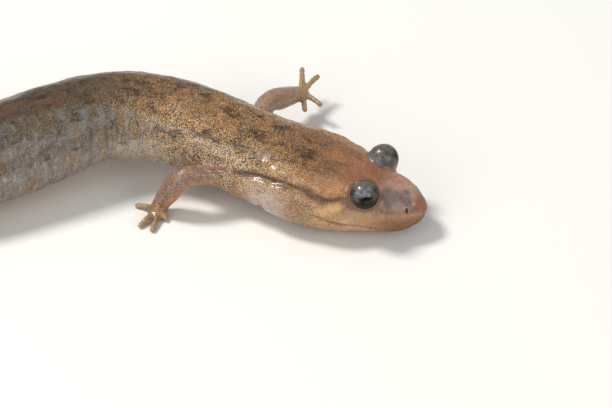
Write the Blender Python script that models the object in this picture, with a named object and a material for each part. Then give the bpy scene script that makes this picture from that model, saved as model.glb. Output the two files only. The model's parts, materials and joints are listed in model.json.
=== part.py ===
"""Dusky salamander at life size, a still model that walks on a flat floor.

Sizes are in millimetres, and settle() turns them into metres. A point of the body
is given as (along, side, high): along runs down the midline from the snout tip,
side is positive to the animal's left, and high is the height above the floor.
bend() carries such a point into the model, where the head points towards +X.
"""

import math

import bmesh
import bpy
import numpy as np
from mathutils import Matrix, Vector

METRES = 0.001
GAP = 0.3  # left between neighbouring pieces
TOTAL_LENGTH = 110.0

# The midline's bearing towards the head, in degrees from +X, at distances from the snout
MIDLINE_BEARINGS = (
    (0, -17), (7, -20), (14, -27), (20, -26), (26, -7), (33, 27), (39, 29),
    (46, 22), (54, 6), (66, -12), (80, -18), (96, -4), (110, 16),
)

# Distance from the snout, half width, underside, back, height share of the widest
# line, squareness of the section and sharpness of the keel
BODY_STATIONS = (
    (0.0, 1.95, 1.10, 3.55, 0.44, 2.2, 0.0),
    (1.0, 2.05, 0.80, 3.95, 0.44, 2.3, 0.0),
    (2.6, 2.60, 0.58, 4.45, 0.43, 2.4, 0.0),
    (4.6, 3.25, 0.45, 5.00, 0.42, 2.5, 0.0),
    (6.5, 4.10, 0.40, 5.48, 0.42, 2.6, 0.0),
    (9.0, 4.60, 0.38, 6.00, 0.42, 2.6, 0.0),
    (11.0, 4.75, 0.38, 6.45, 0.43, 2.5, 0.0),
    (13.4, 4.45, 0.55, 6.85, 0.44, 2.3, 0.0),
    (15.0, 4.30, 0.60, 7.10, 0.45, 2.2, 0.0),
    (18.0, 4.12, 0.90, 7.73, 0.46, 2.15, 0.0),
    (22.0, 3.85, 1.40, 8.43, 0.47, 2.15, 0.0),
    (28.0, 3.75, 1.75, 8.90, 0.48, 2.15, 0.0),
    (36.0, 4.15, 0.75, 8.72, 0.48, 2.15, 0.0),
    (44.0, 4.05, 0.45, 8.10, 0.48, 2.15, 0.0),
    (49.0, 3.70, 0.50, 7.50, 0.47, 2.15, 0.0),
    (54.0, 3.20, 0.40, 6.90, 0.44, 2.1, 0.0),
    (60.0, 2.85, 0.10, 6.40, 0.42, 2.05, 0.05),
    (70.0, 2.40, -0.10, 5.90, 0.40, 2.0, 0.30),
    (84.0, 1.75, -0.10, 5.00, 0.38, 2.0, 0.50),
    (98.0, 1.10, -0.08, 3.40, 0.38, 2.0, 0.55),
    (110.0, 0.55, -0.06, 1.60, 0.40, 2.0, 0.50),
)
SNOUT_TIP_HIGH = 2.45
SNOUT_ROUND = {"width": 2.7, "back": 2.3, "belly": 1.9}  # how far back the snout rounds off
TAIL_TIP_HIGH = 0.5
TAIL_ROUND = 2.5

# Head
EYE = {"along": 4.67, "side": 2.66, "high": 4.79, "radius": 1.22}
EYE_GAP = 0.1
LID_THICK = 0.16
LID_BLEND = 0.75
EYE_OPENING = {"radius": 2.30, "out": 2.60, "look": (0.25, 0.83, 0.47)}  # look: ahead, out, up
JAW_MUSCLE = {"at": (8.6, 3.7, 4.0), "reach": (1.9, 1.5, 1.1), "rise": 0.28}
# From the eye to the neck, as distance and height
CHEEK_GROOVE = ((5.8, 4.35), (7.3, 4.28), (8.8, 4.72), (11.0, 5.08), (13.0, 5.05), (15.0, 4.85))
CHEEK_GROOVE_SHAPE = {"depth": 0.30, "width": 0.38}
LIP = {"rise": 0.10, "off": 0.42, "width": 0.30}  # one swelling over the mouth line, one under it
THROAT_FOLD = {"along": 13.5, "depth": 0.26, "width": 0.45}
MOUTH_LINE = ((-1.5, 1.20), (1.7, 1.30), (3.0, 1.45), (4.2, 1.66), (6.5, 2.12), (8.2, 2.75), (8.6, 3.0))
MOUTH_GAP = 0.22
JAW_BACK = {"top": 8.3, "bottom": 10.2}  # the cut behind the jaw slants back as it drops
NOSTRIL = {"along": 1.30, "side": 1.52, "high": 3.12, "radius": 0.24}
BROW_DIP = {"at": (3.0, 0.0, 4.7), "reach": (1.3, 1.1, 1.0), "rise": -0.12}

# Trunk and tail
FORELIMB_ALONG = 16.9
HINDLIMB_ALONG = 48.8
COSTAL_GROOVES = 14
COSTAL_PITCH = (HINDLIMB_ALONG - FORELIMB_ALONG) / (COSTAL_GROOVES + 1)
COSTAL_SHAPE = {"depth": 0.15, "width": 0.34}
RINGS_PER_GROOVE = 4
BACK_GROOVE = {"depth": 0.16, "width": 0.55, "from": 14.0, "to": 58.0}

# Where the body is parted, as distances from the snout
BODY_PARTS = (
    ("head", 0.0, 12.4),
    ("neck", 12.4, 15.6),
    ("trunk_fore", 15.6, 33.3),
    ("trunk_hind", 33.3, 53.6),
    ("tail_base", 53.6, 72.0),
    ("tail_middle", 72.0, 91.0),
    ("tail_tip", 91.0, 110.0),
)
TIP_RINGS = 6
TIP_TURN = 66.0  # degrees of the tip's quarter circle that those rings cover
RING_STEPS = {"head": 0.38, "neck": 0.42, "tail_base": 1.3, "tail_middle": 1.6, "tail_tip": 1.6}
RING_POINTS = {
    "head": 48, "neck": 34, "trunk_fore": 26, "trunk_hind": 26,
    "tail_base": 24, "tail_middle": 20, "tail_tip": 18,
}

# Limbs: the root is (along, side, high), and steps run from joint to joint as (length,
# bearing in degrees, height reached). A toe is the bearing of its knuckle from the
# palm, its own bearing, its length past the knuckle and how far its tip is raised.
# A limb with tight joints bends close to them, and another bends in a wide curve.
FORELIMB_THICKNESS = (
    (0.0, 1.10), (0.2, 0.88), (0.45, 0.84), (0.64, 0.97), (0.80, 0.87), (0.9, 0.76), (1.0, 0.70),
)
HINDLIMB_THICKNESS = ((0.0, 1.55), (0.2, 1.32), (0.45, 1.10), (0.62, 1.14), (0.88, 0.90), (1.0, 0.78))
LIMBS = (
    {
        "name": "fore_right", "parts": ("upper_arm", "forearm", "hand"),
        "root": (FORELIMB_ALONG - 0.3, -3.0, 3.4),
        "steps": ((4.0, 196, 4.25), (3.75, 170, 1.05), (0.92, 240, 0.44)),
        "tight": True, "thickness": FORELIMB_THICKNESS, "palm": (0.85, 0.85, 0.44),
        "toes": ((-30, -66, 0.6, 0), (-87, -104, 1.8, 0), (-140, -126, 1.7, 0), (121, 155, 1.75, 0)),
        "lift": 0.0,
    },
    {
        "name": "fore_left", "parts": ("upper_arm", "forearm", "hand"),
        "root": (FORELIMB_ALONG, 2.9, 3.6),
        "steps": ((4.1, 81, 4.25), (4.1, 51, 2.9), (1.05, 51, 2.45)),
        "tight": True, "thickness": FORELIMB_THICKNESS, "palm": (0.85, 0.85, 0.44),
        "toes": ((-65, -85, 1.7, 0), (-21, -42, 1.75, 0), (45, 60, 2.3, 0.5), (75, 90, 2.4, 0.9)),
        "lift": 2.0,
    },
    {
        "name": "hind_right", "parts": ("thigh", "shank", "foot"),
        "root": (HINDLIMB_ALONG, -2.3, 3.3),
        "steps": ((5.0, -50, 3.7), (4.6, -112, 1.0), (1.2, -82, 0.45)),
        "tight": False, "thickness": HINDLIMB_THICKNESS, "palm": (1.1, 1.05, 0.48),
        "toes": (
            (-5, -28, 1.1, 0), (-40, -50, 2.1, 0), (-78, -74, 2.6, 0), (-115, -100, 2.4, 0),
            (-150, -130, 1.6, 0),
        ),
        "lift": 0.0,
    },
    {
        "name": "hind_left", "parts": ("thigh", "shank", "foot"),
        "root": (HINDLIMB_ALONG, 2.3, 3.3),
        "steps": ((5.0, 120, 3.7), (4.6, 158, 1.0), (1.2, 122, 0.45)),
        "tight": False, "thickness": HINDLIMB_THICKNESS, "palm": (1.1, 1.05, 0.48),
        "toes": (
            (42, 62, 1.1, 0), (78, 86, 2.1, 0), (114, 110, 2.6, 0), (150, 136, 2.4, 0), (188, 166, 1.6, 0),
        ),
        "lift": 0.0,
    },
)
LIMB_RINGS = 26
LIMB_POINTS = 16
LIMB_FLAT = 0.92  # height of a limb's section over its width
JOINT_SHARES = (0.42, 0.86)  # where the elbow or knee and the wrist or ankle part the limb
JOINT_REACH = 0.48  # share of each length that a joint's rounding takes up
TOE = {"knuckle": 0.65, "root": 0.31, "middle": 0.25, "tip": 0.27, "sunk": 0.06, "arch": 0.14}
TOE_RINGS = 8
TOE_POINTS = 7

COLOURS = {
    "back": (0.30, 0.17, 0.09), "flank": (0.33, 0.22, 0.15), "tail": (0.26, 0.15, 0.09),
    "limb": (0.36, 0.23, 0.17), "jaw": (0.58, 0.43, 0.32), "eye": (0.03, 0.035, 0.03),
}
SKIN_ROUGHNESS = 0.42
EYE_ROUGHNESS = 0.08

MERGE = 1e-4  # points closer than this are made one
FLOOR_SIZE = 400.0
SPINE_STEP = 0.1
SPINE_SPARE = 6.0  # the midline runs straight on past both tips, for the cutters


def clear_scene():
    for item in list(bpy.data.objects):
        bpy.data.objects.remove(item)


def through(keys, at):
    """A smooth curve through (place, value) keys that doesn't overshoot them."""
    place, value = np.array(keys, float).T
    at = np.clip(at, place[0], place[-1])
    step = np.diff(place)
    rise = np.diff(value) / step
    before, after = rise[:-1], rise[1:]
    slope = np.concatenate([rise[:1], np.zeros(len(place) - 2), rise[-1:]])
    same_way = before * after > 0
    slope[1:-1][same_way] = 2 * (before * after)[same_way] / (before + after)[same_way]
    i = np.clip(np.searchsorted(place, at, "right") - 1, 0, len(step) - 1)
    t = (at - place[i]) / step[i]
    return (
        (2 * t**3 - 3 * t**2 + 1) * value[i]
        + (t**3 - 2 * t**2 + t) * step[i] * slope[i]
        + (3 * t**2 - 2 * t**3) * value[i + 1]
        + (t**3 - t**2) * step[i] * slope[i + 1]
    )


def midline():
    """Distances from the snout with the place and bearing of the midline there."""
    at = np.arange(-SPINE_SPARE, TOTAL_LENGTH + SPINE_SPARE, SPINE_STEP)
    bearing = np.radians(through(MIDLINE_BEARINGS, at))
    x = -np.cumsum(np.cos(bearing)) * SPINE_STEP
    y = -np.cumsum(np.sin(bearing)) * SPINE_STEP
    return at, x - np.interp(0.0, at, x), y - np.interp(0.0, at, y), bearing


MIDLINE = midline()


def bend(points):
    """Carries (along, side, high) points into the model."""
    at, x, y, bearing = MIDLINE
    along, side, high = np.moveaxis(np.asarray(points, float), -1, 0)
    turn = np.interp(along, at, bearing)
    return np.stack(
        [
            np.interp(along, at, x) - np.sin(turn) * side,
            np.interp(along, at, y) + np.cos(turn) * side,
            high,
        ],
        axis=-1,
    )


def rounded(distance, reach):
    """How far a tip has opened at a distance from it, from 0 to 1, as a quarter circle."""
    short = 1 - np.clip(distance / reach, 0, 1)
    return np.sqrt(1 - short**2)


def plain_body(along, around):
    """The body without its features, on a grid of distances and angles."""
    stations = np.array(BODY_STATIONS)
    half_width, belly, back, waist, squareness, keel = (
        through(stations[:, (0, k)], along)[:, None] for k in range(1, 7)
    )
    tail_open = rounded(TOTAL_LENGTH - along, TAIL_ROUND)[:, None]
    half_width = half_width * rounded(along, SNOUT_ROUND["width"])[:, None] * tail_open
    back_open = rounded(along, SNOUT_ROUND["back"])[:, None]
    belly_open = rounded(along, SNOUT_ROUND["belly"])[:, None]
    back = SNOUT_TIP_HIGH + (back - SNOUT_TIP_HIGH) * back_open
    belly = SNOUT_TIP_HIGH + (belly - SNOUT_TIP_HIGH) * belly_open
    back = TAIL_TIP_HIGH + (back - TAIL_TIP_HIGH) * tail_open
    belly = TAIL_TIP_HIGH + (belly - TAIL_TIP_HIGH) * tail_open
    across = np.sign(np.cos(around)) * np.abs(np.cos(around)) ** (2 / squareness)
    upward = np.sign(np.sin(around)) * np.abs(np.sin(around)) ** (2 / squareness)
    middle = belly + waist * (back - belly)
    high = middle + np.where(upward > 0, back - middle, middle - belly) * upward
    side = half_width * across * (1 - keel * np.clip(upward, 0, 1))
    return np.stack([np.broadcast_to(along[:, None], side.shape), side, high], axis=-1)


def normals_of(grid):
    """Outward unit normals of a grid whose second axis closes on itself."""
    down = np.gradient(grid, axis=0)
    round_it = np.roll(grid, -1, axis=1) - np.roll(grid, 1, axis=1)
    normal = np.cross(down, round_it)
    length = np.linalg.norm(normal, axis=-1, keepdims=True)
    return -normal / np.maximum(length, 1e-9)


def hump(points, at, reach, rise):
    """A rounded swelling of that rise, on both sides of the body."""
    mirrored = points * (1, 0, 1) + np.abs(points) * (0, 1, 0)
    return rise * np.exp(-(((mirrored - at) / reach) ** 2).sum(axis=-1))


def ease(value, start, end):
    t = np.clip((value - start) / (end - start), 0, 1)
    return t * t * (3 - 2 * t)


def relief(points, normals):
    """How far the surface stands out from the plain body, in folds and grooves."""
    along, side, high = np.moveaxis(points, -1, 0)
    flank = np.clip(np.abs(normals[..., 1]), 0, 1)
    lift = hump(points, **JAW_MUSCLE) + hump(points, **BROW_DIP)
    line = through(CHEEK_GROOVE, along)
    reach = ease(along, 5.6, 7.0) * ease(along, 15.4, 13.4) * ease(flank, 0.3, 0.7)
    groove = np.exp(-(((high - line) / CHEEK_GROOVE_SHAPE["width"]) ** 2))
    lift -= CHEEK_GROOVE_SHAPE["depth"] * reach * groove
    mouth = through(MOUTH_LINE, along)
    for way in (1, -1):
        swell = np.exp(-(((high - mouth - way * LIP["off"]) / LIP["width"]) ** 2))
        lift += LIP["rise"] * swell * ease(along, 8.6, 7.4)
    fold = np.exp(-(((along - THROAT_FOLD["along"]) / THROAT_FOLD["width"]) ** 2))
    lift -= THROAT_FOLD["depth"] * fold * ease(high, 3.4, 1.6)
    for k in range(COSTAL_GROOVES):
        place = FORELIMB_ALONG + COSTAL_PITCH * (k + 1)
        cut = np.exp(-(((along - place) / COSTAL_SHAPE["width"]) ** 2))
        lift -= COSTAL_SHAPE["depth"] * cut * ease(flank, 0.35, 0.8)
    down_back = ease(along, BACK_GROOVE["from"], BACK_GROOVE["from"] + 3)
    down_back = down_back * ease(along, BACK_GROOVE["to"], BACK_GROOVE["to"] - 4) * (normals[..., 2] > 0.5)
    lift -= BACK_GROOVE["depth"] * down_back * np.exp(-((side / BACK_GROOVE["width"]) ** 2))
    return lift


def eye_centre(sign):
    return np.array([EYE["along"], sign * EYE["side"], EYE["high"]])


def lids(points, normals):
    """How far the skin is pushed out to wrap each eye, blended into the head."""
    radius = EYE["radius"] + EYE_GAP + LID_THICK
    push = np.zeros(points.shape[:-1])
    for sign in (1, -1):
        low = np.zeros_like(push)
        top = np.full_like(push, 2 * radius)
        for _ in range(24):
            t = (low + top) / 2
            from_eye = np.linalg.norm(points + t[..., None] * normals - eye_centre(sign), axis=-1)
            ball = from_eye - radius
            mix = np.clip(LID_BLEND - np.abs(t - ball), 0, None) / LID_BLEND
            inside = np.minimum(t, ball) - mix**2 * LID_BLEND / 4 < 0
            low = np.where(inside, t, low)
            top = np.where(inside, top, t)
        push = np.maximum(push, low)
    return push


def groove_rings(start, end):
    """Distances for the rings of a length of trunk, with one ring in each side groove."""
    step = COSTAL_PITCH / RINGS_PER_GROOVE
    first = math.ceil((start + step / 2 - FORELIMB_ALONG) / step)
    last = math.floor((end - step / 2 - FORELIMB_ALONG) / step)
    return np.array([start, *(FORELIMB_ALONG + step * k for k in range(first, last + 1)), end])


def tip_rings(reach, step):
    """Distances from a rounded tip, evenly spread round its curve, and a step beyond."""
    turn = np.linspace(0, math.radians(TIP_TURN), TIP_RINGS)
    return [*reach * (1 - np.cos(turn)), reach * (1 - math.cos(turn[-1])) + step]


def body_rings(start, end, step):
    """Distances for the rings of one length of body, closer together at a tip."""
    snout = tip_rings(SNOUT_ROUND["width"], step) if start == 0 else [start]
    tail = [end - d for d in reversed(tip_rings(TAIL_ROUND, step))] if end == TOTAL_LENGTH else [end]
    between = np.linspace(snout[-1], tail[0], max(3, round((tail[0] - snout[-1]) / step) + 1))
    return np.array([*snout[:-1], *between, *tail[1:]])


def body_surface(along, points_round, out=0.0):
    """The body's skin with its features, pushed out by a margin, as a grid."""
    around = np.linspace(0, 2 * math.pi, points_round, endpoint=False)[None, :]
    grid = plain_body(along, around)
    normals = normals_of(grid)
    grid = grid + (relief(grid, normals) + out)[..., None] * normals
    if along[0] < EYE["along"]:
        grid = grid + lids(grid, normals)[..., None] * normals
    return grid


def finished(name, shape):
    """An object of a bmesh, cut into triangles that all face out."""
    bmesh.ops.remove_doubles(shape, verts=shape.verts, dist=MERGE)
    bmesh.ops.triangulate(shape, faces=shape.faces)
    bmesh.ops.recalc_face_normals(shape, faces=shape.faces)
    mesh = bpy.data.meshes.new(name)
    shape.to_mesh(mesh)
    shape.free()
    item = bpy.data.objects.new(name, mesh)
    bpy.context.scene.collection.objects.link(item)
    return item


def lofted(name, grid):
    """A closed mesh through rings of points, with a fan of faces over each end."""
    shape = bmesh.new()
    rings = [[shape.verts.new(point) for point in ring] for ring in grid]
    for ring, after in zip(rings, rings[1:]):
        for k in range(len(ring)):
            shape.faces.new((ring[k - 1], ring[k], after[k], after[k - 1]))
    for ring, points in ((rings[0], grid[0]), (rings[-1], grid[-1])):
        centre = shape.verts.new(points.mean(axis=0))
        for k in range(len(ring)):
            shape.faces.new((ring[k - 1], ring[k], centre))
    return finished(name, shape)


def boolean(item, operation, others, solver="EXACT"):
    """Joins, cuts or crops the object with closed meshes, and removes those."""
    tools = bpy.data.collections.new("tools")
    bpy.context.scene.collection.children.link(tools)
    for other in others:
        tools.objects.link(other)
    modifier = item.modifiers.new("join", "BOOLEAN")
    modifier.operation = operation
    modifier.operand_type = "COLLECTION"
    modifier.collection = tools
    modifier.solver = solver
    graph = bpy.context.evaluated_depsgraph_get()
    mesh = bpy.data.meshes.new_from_object(item.evaluated_get(graph))
    item.modifiers.clear()
    item.data = mesh
    for other in others:
        bpy.data.objects.remove(other)
    bpy.data.collections.remove(tools)
    return largest_piece(item)


def largest_piece(item):
    """Keeps the closed surface with the most faces, and drops the rest."""
    shape = bmesh.new()
    shape.from_mesh(item.data)
    left = set(shape.faces)
    pieces = []
    while left:
        piece, front = set(), [left.pop()]
        while front:
            face = front.pop()
            piece.add(face)
            for edge in face.edges:
                for other in edge.link_faces:
                    if other in left:
                        left.discard(other)
                        front.append(other)
        pieces.append(piece)
    pieces.sort(key=len)
    for piece in pieces[:-1]:
        bmesh.ops.delete(shape, geom=list(piece), context="FACES")
    shape.to_mesh(item.data)
    shape.free()
    return item


def ball(name, centre, radii, rings=10, count=16):
    """A sphere stretched to three radii."""
    shape = bmesh.new()
    bmesh.ops.create_uvsphere(shape, u_segments=count, v_segments=rings, radius=1.0)
    bmesh.ops.scale(shape, vec=radii, verts=shape.verts)
    bmesh.ops.translate(shape, vec=centre, verts=shape.verts)
    return finished(name, shape)


def floor_block():
    """Everything below the floor, for cutting the flats that the model rests on."""
    shape = bmesh.new()
    bmesh.ops.create_cube(shape, size=FLOOR_SIZE, matrix=Matrix.Translation((0, 0, -FLOOR_SIZE / 2)))
    return finished("floor_block", shape)


def jaw_wedge(name, margin):
    """The space of the lower jaw: under the mouth line and ahead of the jaw's joint."""
    along = np.linspace(MOUTH_LINE[0][0], JAW_BACK["top"] + margin, 14)
    top = through(MOUTH_LINE, along) + margin
    front = np.full_like(along, -2.0)
    low = np.interp(along, [MOUTH_LINE[0][0], along[-1]], [MOUTH_LINE[0][0], JAW_BACK["bottom"] + margin])
    wide = 6.0
    left, right = np.full_like(along, wide), np.full_like(along, -wide)
    grid = np.stack(
        [
            np.stack([along, right, top], axis=-1),
            np.stack([along, left, top], axis=-1),
            np.stack([low, left, front], axis=-1),
            np.stack([low, right, front], axis=-1),
        ],
        axis=1,
    )
    return lofted(name, bend(grid))


def eye_cutters(sign):
    """The socket round one eye and the opening between its lids."""
    centre = eye_centre(sign)
    look = Vector(EYE_OPENING["look"]).normalized() * EYE_OPENING["out"]
    middle = centre + np.array([-look.x, sign * look.y, look.z])
    return [
        ball("socket", bend(centre), (EYE["radius"] + EYE_GAP,) * 3, 12, 18),
        ball("opening", bend(middle), (EYE_OPENING["radius"],) * 3, 20, 28),
    ]


def make_body():
    """Every length of the body from the snout to the tail, with the jaw parted off."""
    made = {}
    for name, start, end in BODY_PARTS:
        first = start if start == 0 else start + GAP / 2
        last = end if end == TOTAL_LENGTH else end - GAP / 2
        if name.startswith("trunk"):
            along = groove_rings(first, last)
        else:
            along = body_rings(first, last, RING_STEPS[name])
        made[name] = lofted(name, bend(body_surface(along, RING_POINTS[name])))
    for name in ("tail_base", "tail_middle", "tail_tip"):
        boolean(made[name], "DIFFERENCE", [floor_block()])
    head = made["head"]
    jaw = bpy.data.objects.new("lower_jaw", head.data.copy())
    bpy.context.scene.collection.objects.link(jaw)
    made["lower_jaw"] = boolean(jaw, "INTERSECT", [jaw_wedge("jaw_space", 0.0)])
    boolean(head, "DIFFERENCE", [jaw_wedge("mouth", MOUTH_GAP)])
    for sign in (1, -1):
        boolean(head, "DIFFERENCE", eye_cutters(sign))
        nostril = bend((NOSTRIL["along"], sign * NOSTRIL["side"], NOSTRIL["high"]))
        boolean(head, "DIFFERENCE", [ball("nostril", nostril, (NOSTRIL["radius"],) * 3, 6, 8)])
    for sign, name in ((1, "eye_left"), (-1, "eye_right")):
        made[name] = ball(name, bend(eye_centre(sign)), (EYE["radius"],) * 3, 12, 18)
    return made


def body_cutter():
    """The trunk and neck pushed out by the gap, which the limbs' roots are cut with."""
    along = np.linspace(BODY_PARTS[1][1], BODY_PARTS[4][2], 60)
    return lofted("body_cutter", bend(body_surface(along, 30, GAP)))


def corners_rounded(points, rounds=4):
    """A smooth path that follows straight stretches and keeps its two ends."""
    for _ in range(rounds):
        near = points[:-1] * 0.75 + points[1:] * 0.25
        far = points[:-1] * 0.25 + points[1:] * 0.75
        middle = np.stack([near, far], axis=1).reshape(-1, 3)
        points = np.concatenate([points[:1], middle[1:-1], points[-1:]])
    return points


def joints_braced(points, reach):
    """Adds a point each side of every inner joint, so that rounding stays close to it."""
    braced = [points[0]]
    for before, joint, after in zip(points, points[1:], points[2:]):
        braced += [joint + (before - joint) * reach, joint, joint + (after - joint) * reach]
    return np.array([*braced, points[-1]])


def spaced(points, shares):
    """Points at shares of a path's length, from 0 to 1."""
    run = np.concatenate([[0], np.cumsum(np.linalg.norm(np.diff(points, axis=0), axis=1))])
    return np.stack([np.interp(shares * run[-1], run, points[:, k]) for k in range(3)], axis=-1)


def tube(path, half_width, flat, count):
    """Rings round a path, each upright and square to it, as a grid."""
    ahead = np.gradient(path, axis=0)
    ahead /= np.linalg.norm(ahead, axis=1, keepdims=True)
    across = np.cross(np.array([0, 0, 1.0]), ahead)
    across /= np.linalg.norm(across, axis=1, keepdims=True)
    upright = np.cross(ahead, across)
    turn = np.linspace(0, 2 * math.pi, count, endpoint=False)
    return (
        path[:, None]
        + half_width[:, None, None] * np.cos(turn)[None, :, None] * across[:, None]
        + (half_width * flat)[:, None, None] * np.sin(turn)[None, :, None] * upright[:, None]
    )


def limb_joints(limb):
    """The root, elbow or knee, wrist or ankle, and palm or sole."""
    points = [bend(limb["root"])]
    for length, bearing, high in limb["steps"]:
        drop = high - points[-1][2]
        points.append(stepped(points[-1], bearing, math.sqrt(length**2 - drop**2), high))
    return np.array(points)


def stepped(start, bearing, length, high):
    """The point a length away on a bearing in degrees, at a height."""
    angle = math.radians(bearing)
    return np.array([start[0] + length * math.cos(angle), start[1] + length * math.sin(angle), high])


def toe(limb, palm, knuckle_bearing, bearing, length, raised):
    """One toe from inside the palm over its knuckle to a rounded tip."""
    end_high = TOE["tip"] - TOE["sunk"] + limb["lift"] + raised
    knuckle = stepped(palm, knuckle_bearing, TOE["knuckle"], palm[2] * 0.5 + end_high * 0.5 + TOE["arch"])
    tip = stepped(knuckle, bearing, length, end_high)
    middle = (knuckle + tip) / 2 + (0, 0, TOE["arch"] / 2)
    path = corners_rounded(np.array([palm, knuckle, middle, tip]))
    run = TOE["knuckle"] + length
    round_off = TOE["tip"] / run
    shares = np.concatenate([np.linspace(0, 1 - round_off, TOE_RINGS - 2), [1 - 0.35 * round_off, 1.0]])
    wide = through(((0, TOE["root"]), (0.6, TOE["middle"]), (0.85, TOE["tip"]), (1.0, TOE["tip"])), shares)
    wide = wide * rounded(1.0 - shares + 0.02 * round_off, round_off)
    return lofted("toe", tube(spaced(path, shares), wide, 1.0, TOE_POINTS))


def make_limb(limb):
    """The three lengths of one limb, parted at its joints and cut clear of the body."""
    joints = limb_joints(limb)
    path = corners_rounded(joints_braced(joints, JOINT_REACH) if limb["tight"] else joints)
    run = np.linalg.norm(np.diff(path, axis=0), axis=1).sum()
    bounds = (0.0, *JOINT_SHARES, 1.0)
    made = {}
    for k, part in enumerate(limb["parts"]):
        first = bounds[k] + (GAP / 2 / run if k else 0)
        last = bounds[k + 1] - (GAP / 2 / run if k < 2 else 0)
        rings = max(4, round(LIMB_RINGS * (last - first)))
        shares = np.linspace(first, last, rings)
        wide = through(limb["thickness"], shares)
        rings_of_part = tube(spaced(path, shares), wide, LIMB_FLAT, LIMB_POINTS)
        name = limb["name"] + "_" + part
        made[name] = lofted(name, rings_of_part)
    hand = made[limb["name"] + "_" + limb["parts"][2]]
    palm = joints[3]
    toes = [toe(limb, palm, *shape) for shape in limb["toes"]]
    boolean(hand, "UNION", [ball("palm", palm, limb["palm"], 8, 16)] + toes)
    root = made[limb["name"] + "_" + limb["parts"][0]]
    boolean(root, "DIFFERENCE", [body_cutter()])
    boolean(hand, "DIFFERENCE", [floor_block()])
    return made


def skin(name, colour, roughness):
    """A Principled material with the piece's own colour."""
    material = bpy.data.materials.new(name + "_finish")
    material.use_nodes = True
    shader = material.node_tree.nodes["Principled BSDF"]
    shader.inputs["Base Color"].default_value = (*colour, 1.0)
    shader.inputs["Roughness"].default_value = roughness
    shader.inputs["Metallic"].default_value = 0.0
    return material


def colour_of(name):
    if name.startswith("eye"):
        return "eye"
    if name.startswith(("fore", "hind")):
        return "limb"
    if name.startswith("tail"):
        return "tail"
    return {"lower_jaw": "jaw", "head": "back", "neck": "back"}.get(name, "flank")


def settle(made):
    """Centres the model over its origin, in metres, and finishes each piece."""
    corners = np.array([v.co for item in made.values() for v in item.data.vertices])
    low, top = corners.min(axis=0), corners.max(axis=0)
    middle = Vector(((low[0] + top[0]) / 2, (low[1] + top[1]) / 2, 0.0))
    for name, item in made.items():
        for vertex in item.data.vertices:
            vertex.co = (vertex.co - middle) * METRES
        item.data.shade_smooth()
        key = colour_of(name)
        item.data.materials.clear()
        roughness = EYE_ROUGHNESS if key == "eye" else SKIN_ROUGHNESS
        item.data.materials.append(skin(name, COLOURS[key], roughness))


def main():
    clear_scene()
    made = make_body()
    for limb in LIMBS:
        made.update(make_limb(limb))
    settle(made)


main()
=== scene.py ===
# Dusky salamander at life size, a still model: its skin, its eyes, the floor and the light.
# Lengths are millimetres until settle() carries a piece into the frame, which is in metres.
# A place on the body is (along, side, high): along runs down the midline from the snout tip,
# side is positive to the animal's left, and high is the height above the floor.

import json
import math

import bmesh
import bpy
import numpy as np
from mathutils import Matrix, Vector

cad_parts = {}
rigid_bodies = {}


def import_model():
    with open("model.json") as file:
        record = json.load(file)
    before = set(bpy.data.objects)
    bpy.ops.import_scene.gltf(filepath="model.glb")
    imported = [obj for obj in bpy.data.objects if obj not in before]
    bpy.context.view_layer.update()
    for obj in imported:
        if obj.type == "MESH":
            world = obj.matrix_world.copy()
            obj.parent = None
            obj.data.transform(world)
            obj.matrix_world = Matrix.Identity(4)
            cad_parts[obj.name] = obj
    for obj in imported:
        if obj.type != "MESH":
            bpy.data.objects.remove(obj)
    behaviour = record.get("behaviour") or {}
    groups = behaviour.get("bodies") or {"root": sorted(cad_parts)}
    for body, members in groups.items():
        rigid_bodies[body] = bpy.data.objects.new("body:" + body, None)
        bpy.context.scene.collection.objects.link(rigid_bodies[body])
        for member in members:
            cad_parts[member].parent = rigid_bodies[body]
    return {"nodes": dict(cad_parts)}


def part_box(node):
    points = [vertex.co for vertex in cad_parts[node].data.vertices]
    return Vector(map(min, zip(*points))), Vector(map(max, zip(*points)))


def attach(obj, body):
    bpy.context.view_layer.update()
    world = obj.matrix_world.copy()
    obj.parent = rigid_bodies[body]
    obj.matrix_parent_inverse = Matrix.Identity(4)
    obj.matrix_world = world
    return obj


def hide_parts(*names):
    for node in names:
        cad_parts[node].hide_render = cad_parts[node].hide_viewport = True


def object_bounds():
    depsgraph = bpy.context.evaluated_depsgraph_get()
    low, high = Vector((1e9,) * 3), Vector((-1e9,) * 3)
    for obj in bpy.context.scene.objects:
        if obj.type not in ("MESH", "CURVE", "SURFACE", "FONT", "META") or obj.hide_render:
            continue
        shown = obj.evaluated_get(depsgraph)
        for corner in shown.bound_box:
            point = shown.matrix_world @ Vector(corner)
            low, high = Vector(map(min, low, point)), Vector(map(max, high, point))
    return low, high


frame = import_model()
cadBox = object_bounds()
print("frame:", len(frame["nodes"]), "nodes")

millimetre = 0.001
spineStep = 0.1
spineSpare = 6.0  # the midline runs straight on past both tips
atOnce = 4000  # points measured against the midline at a time

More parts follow.
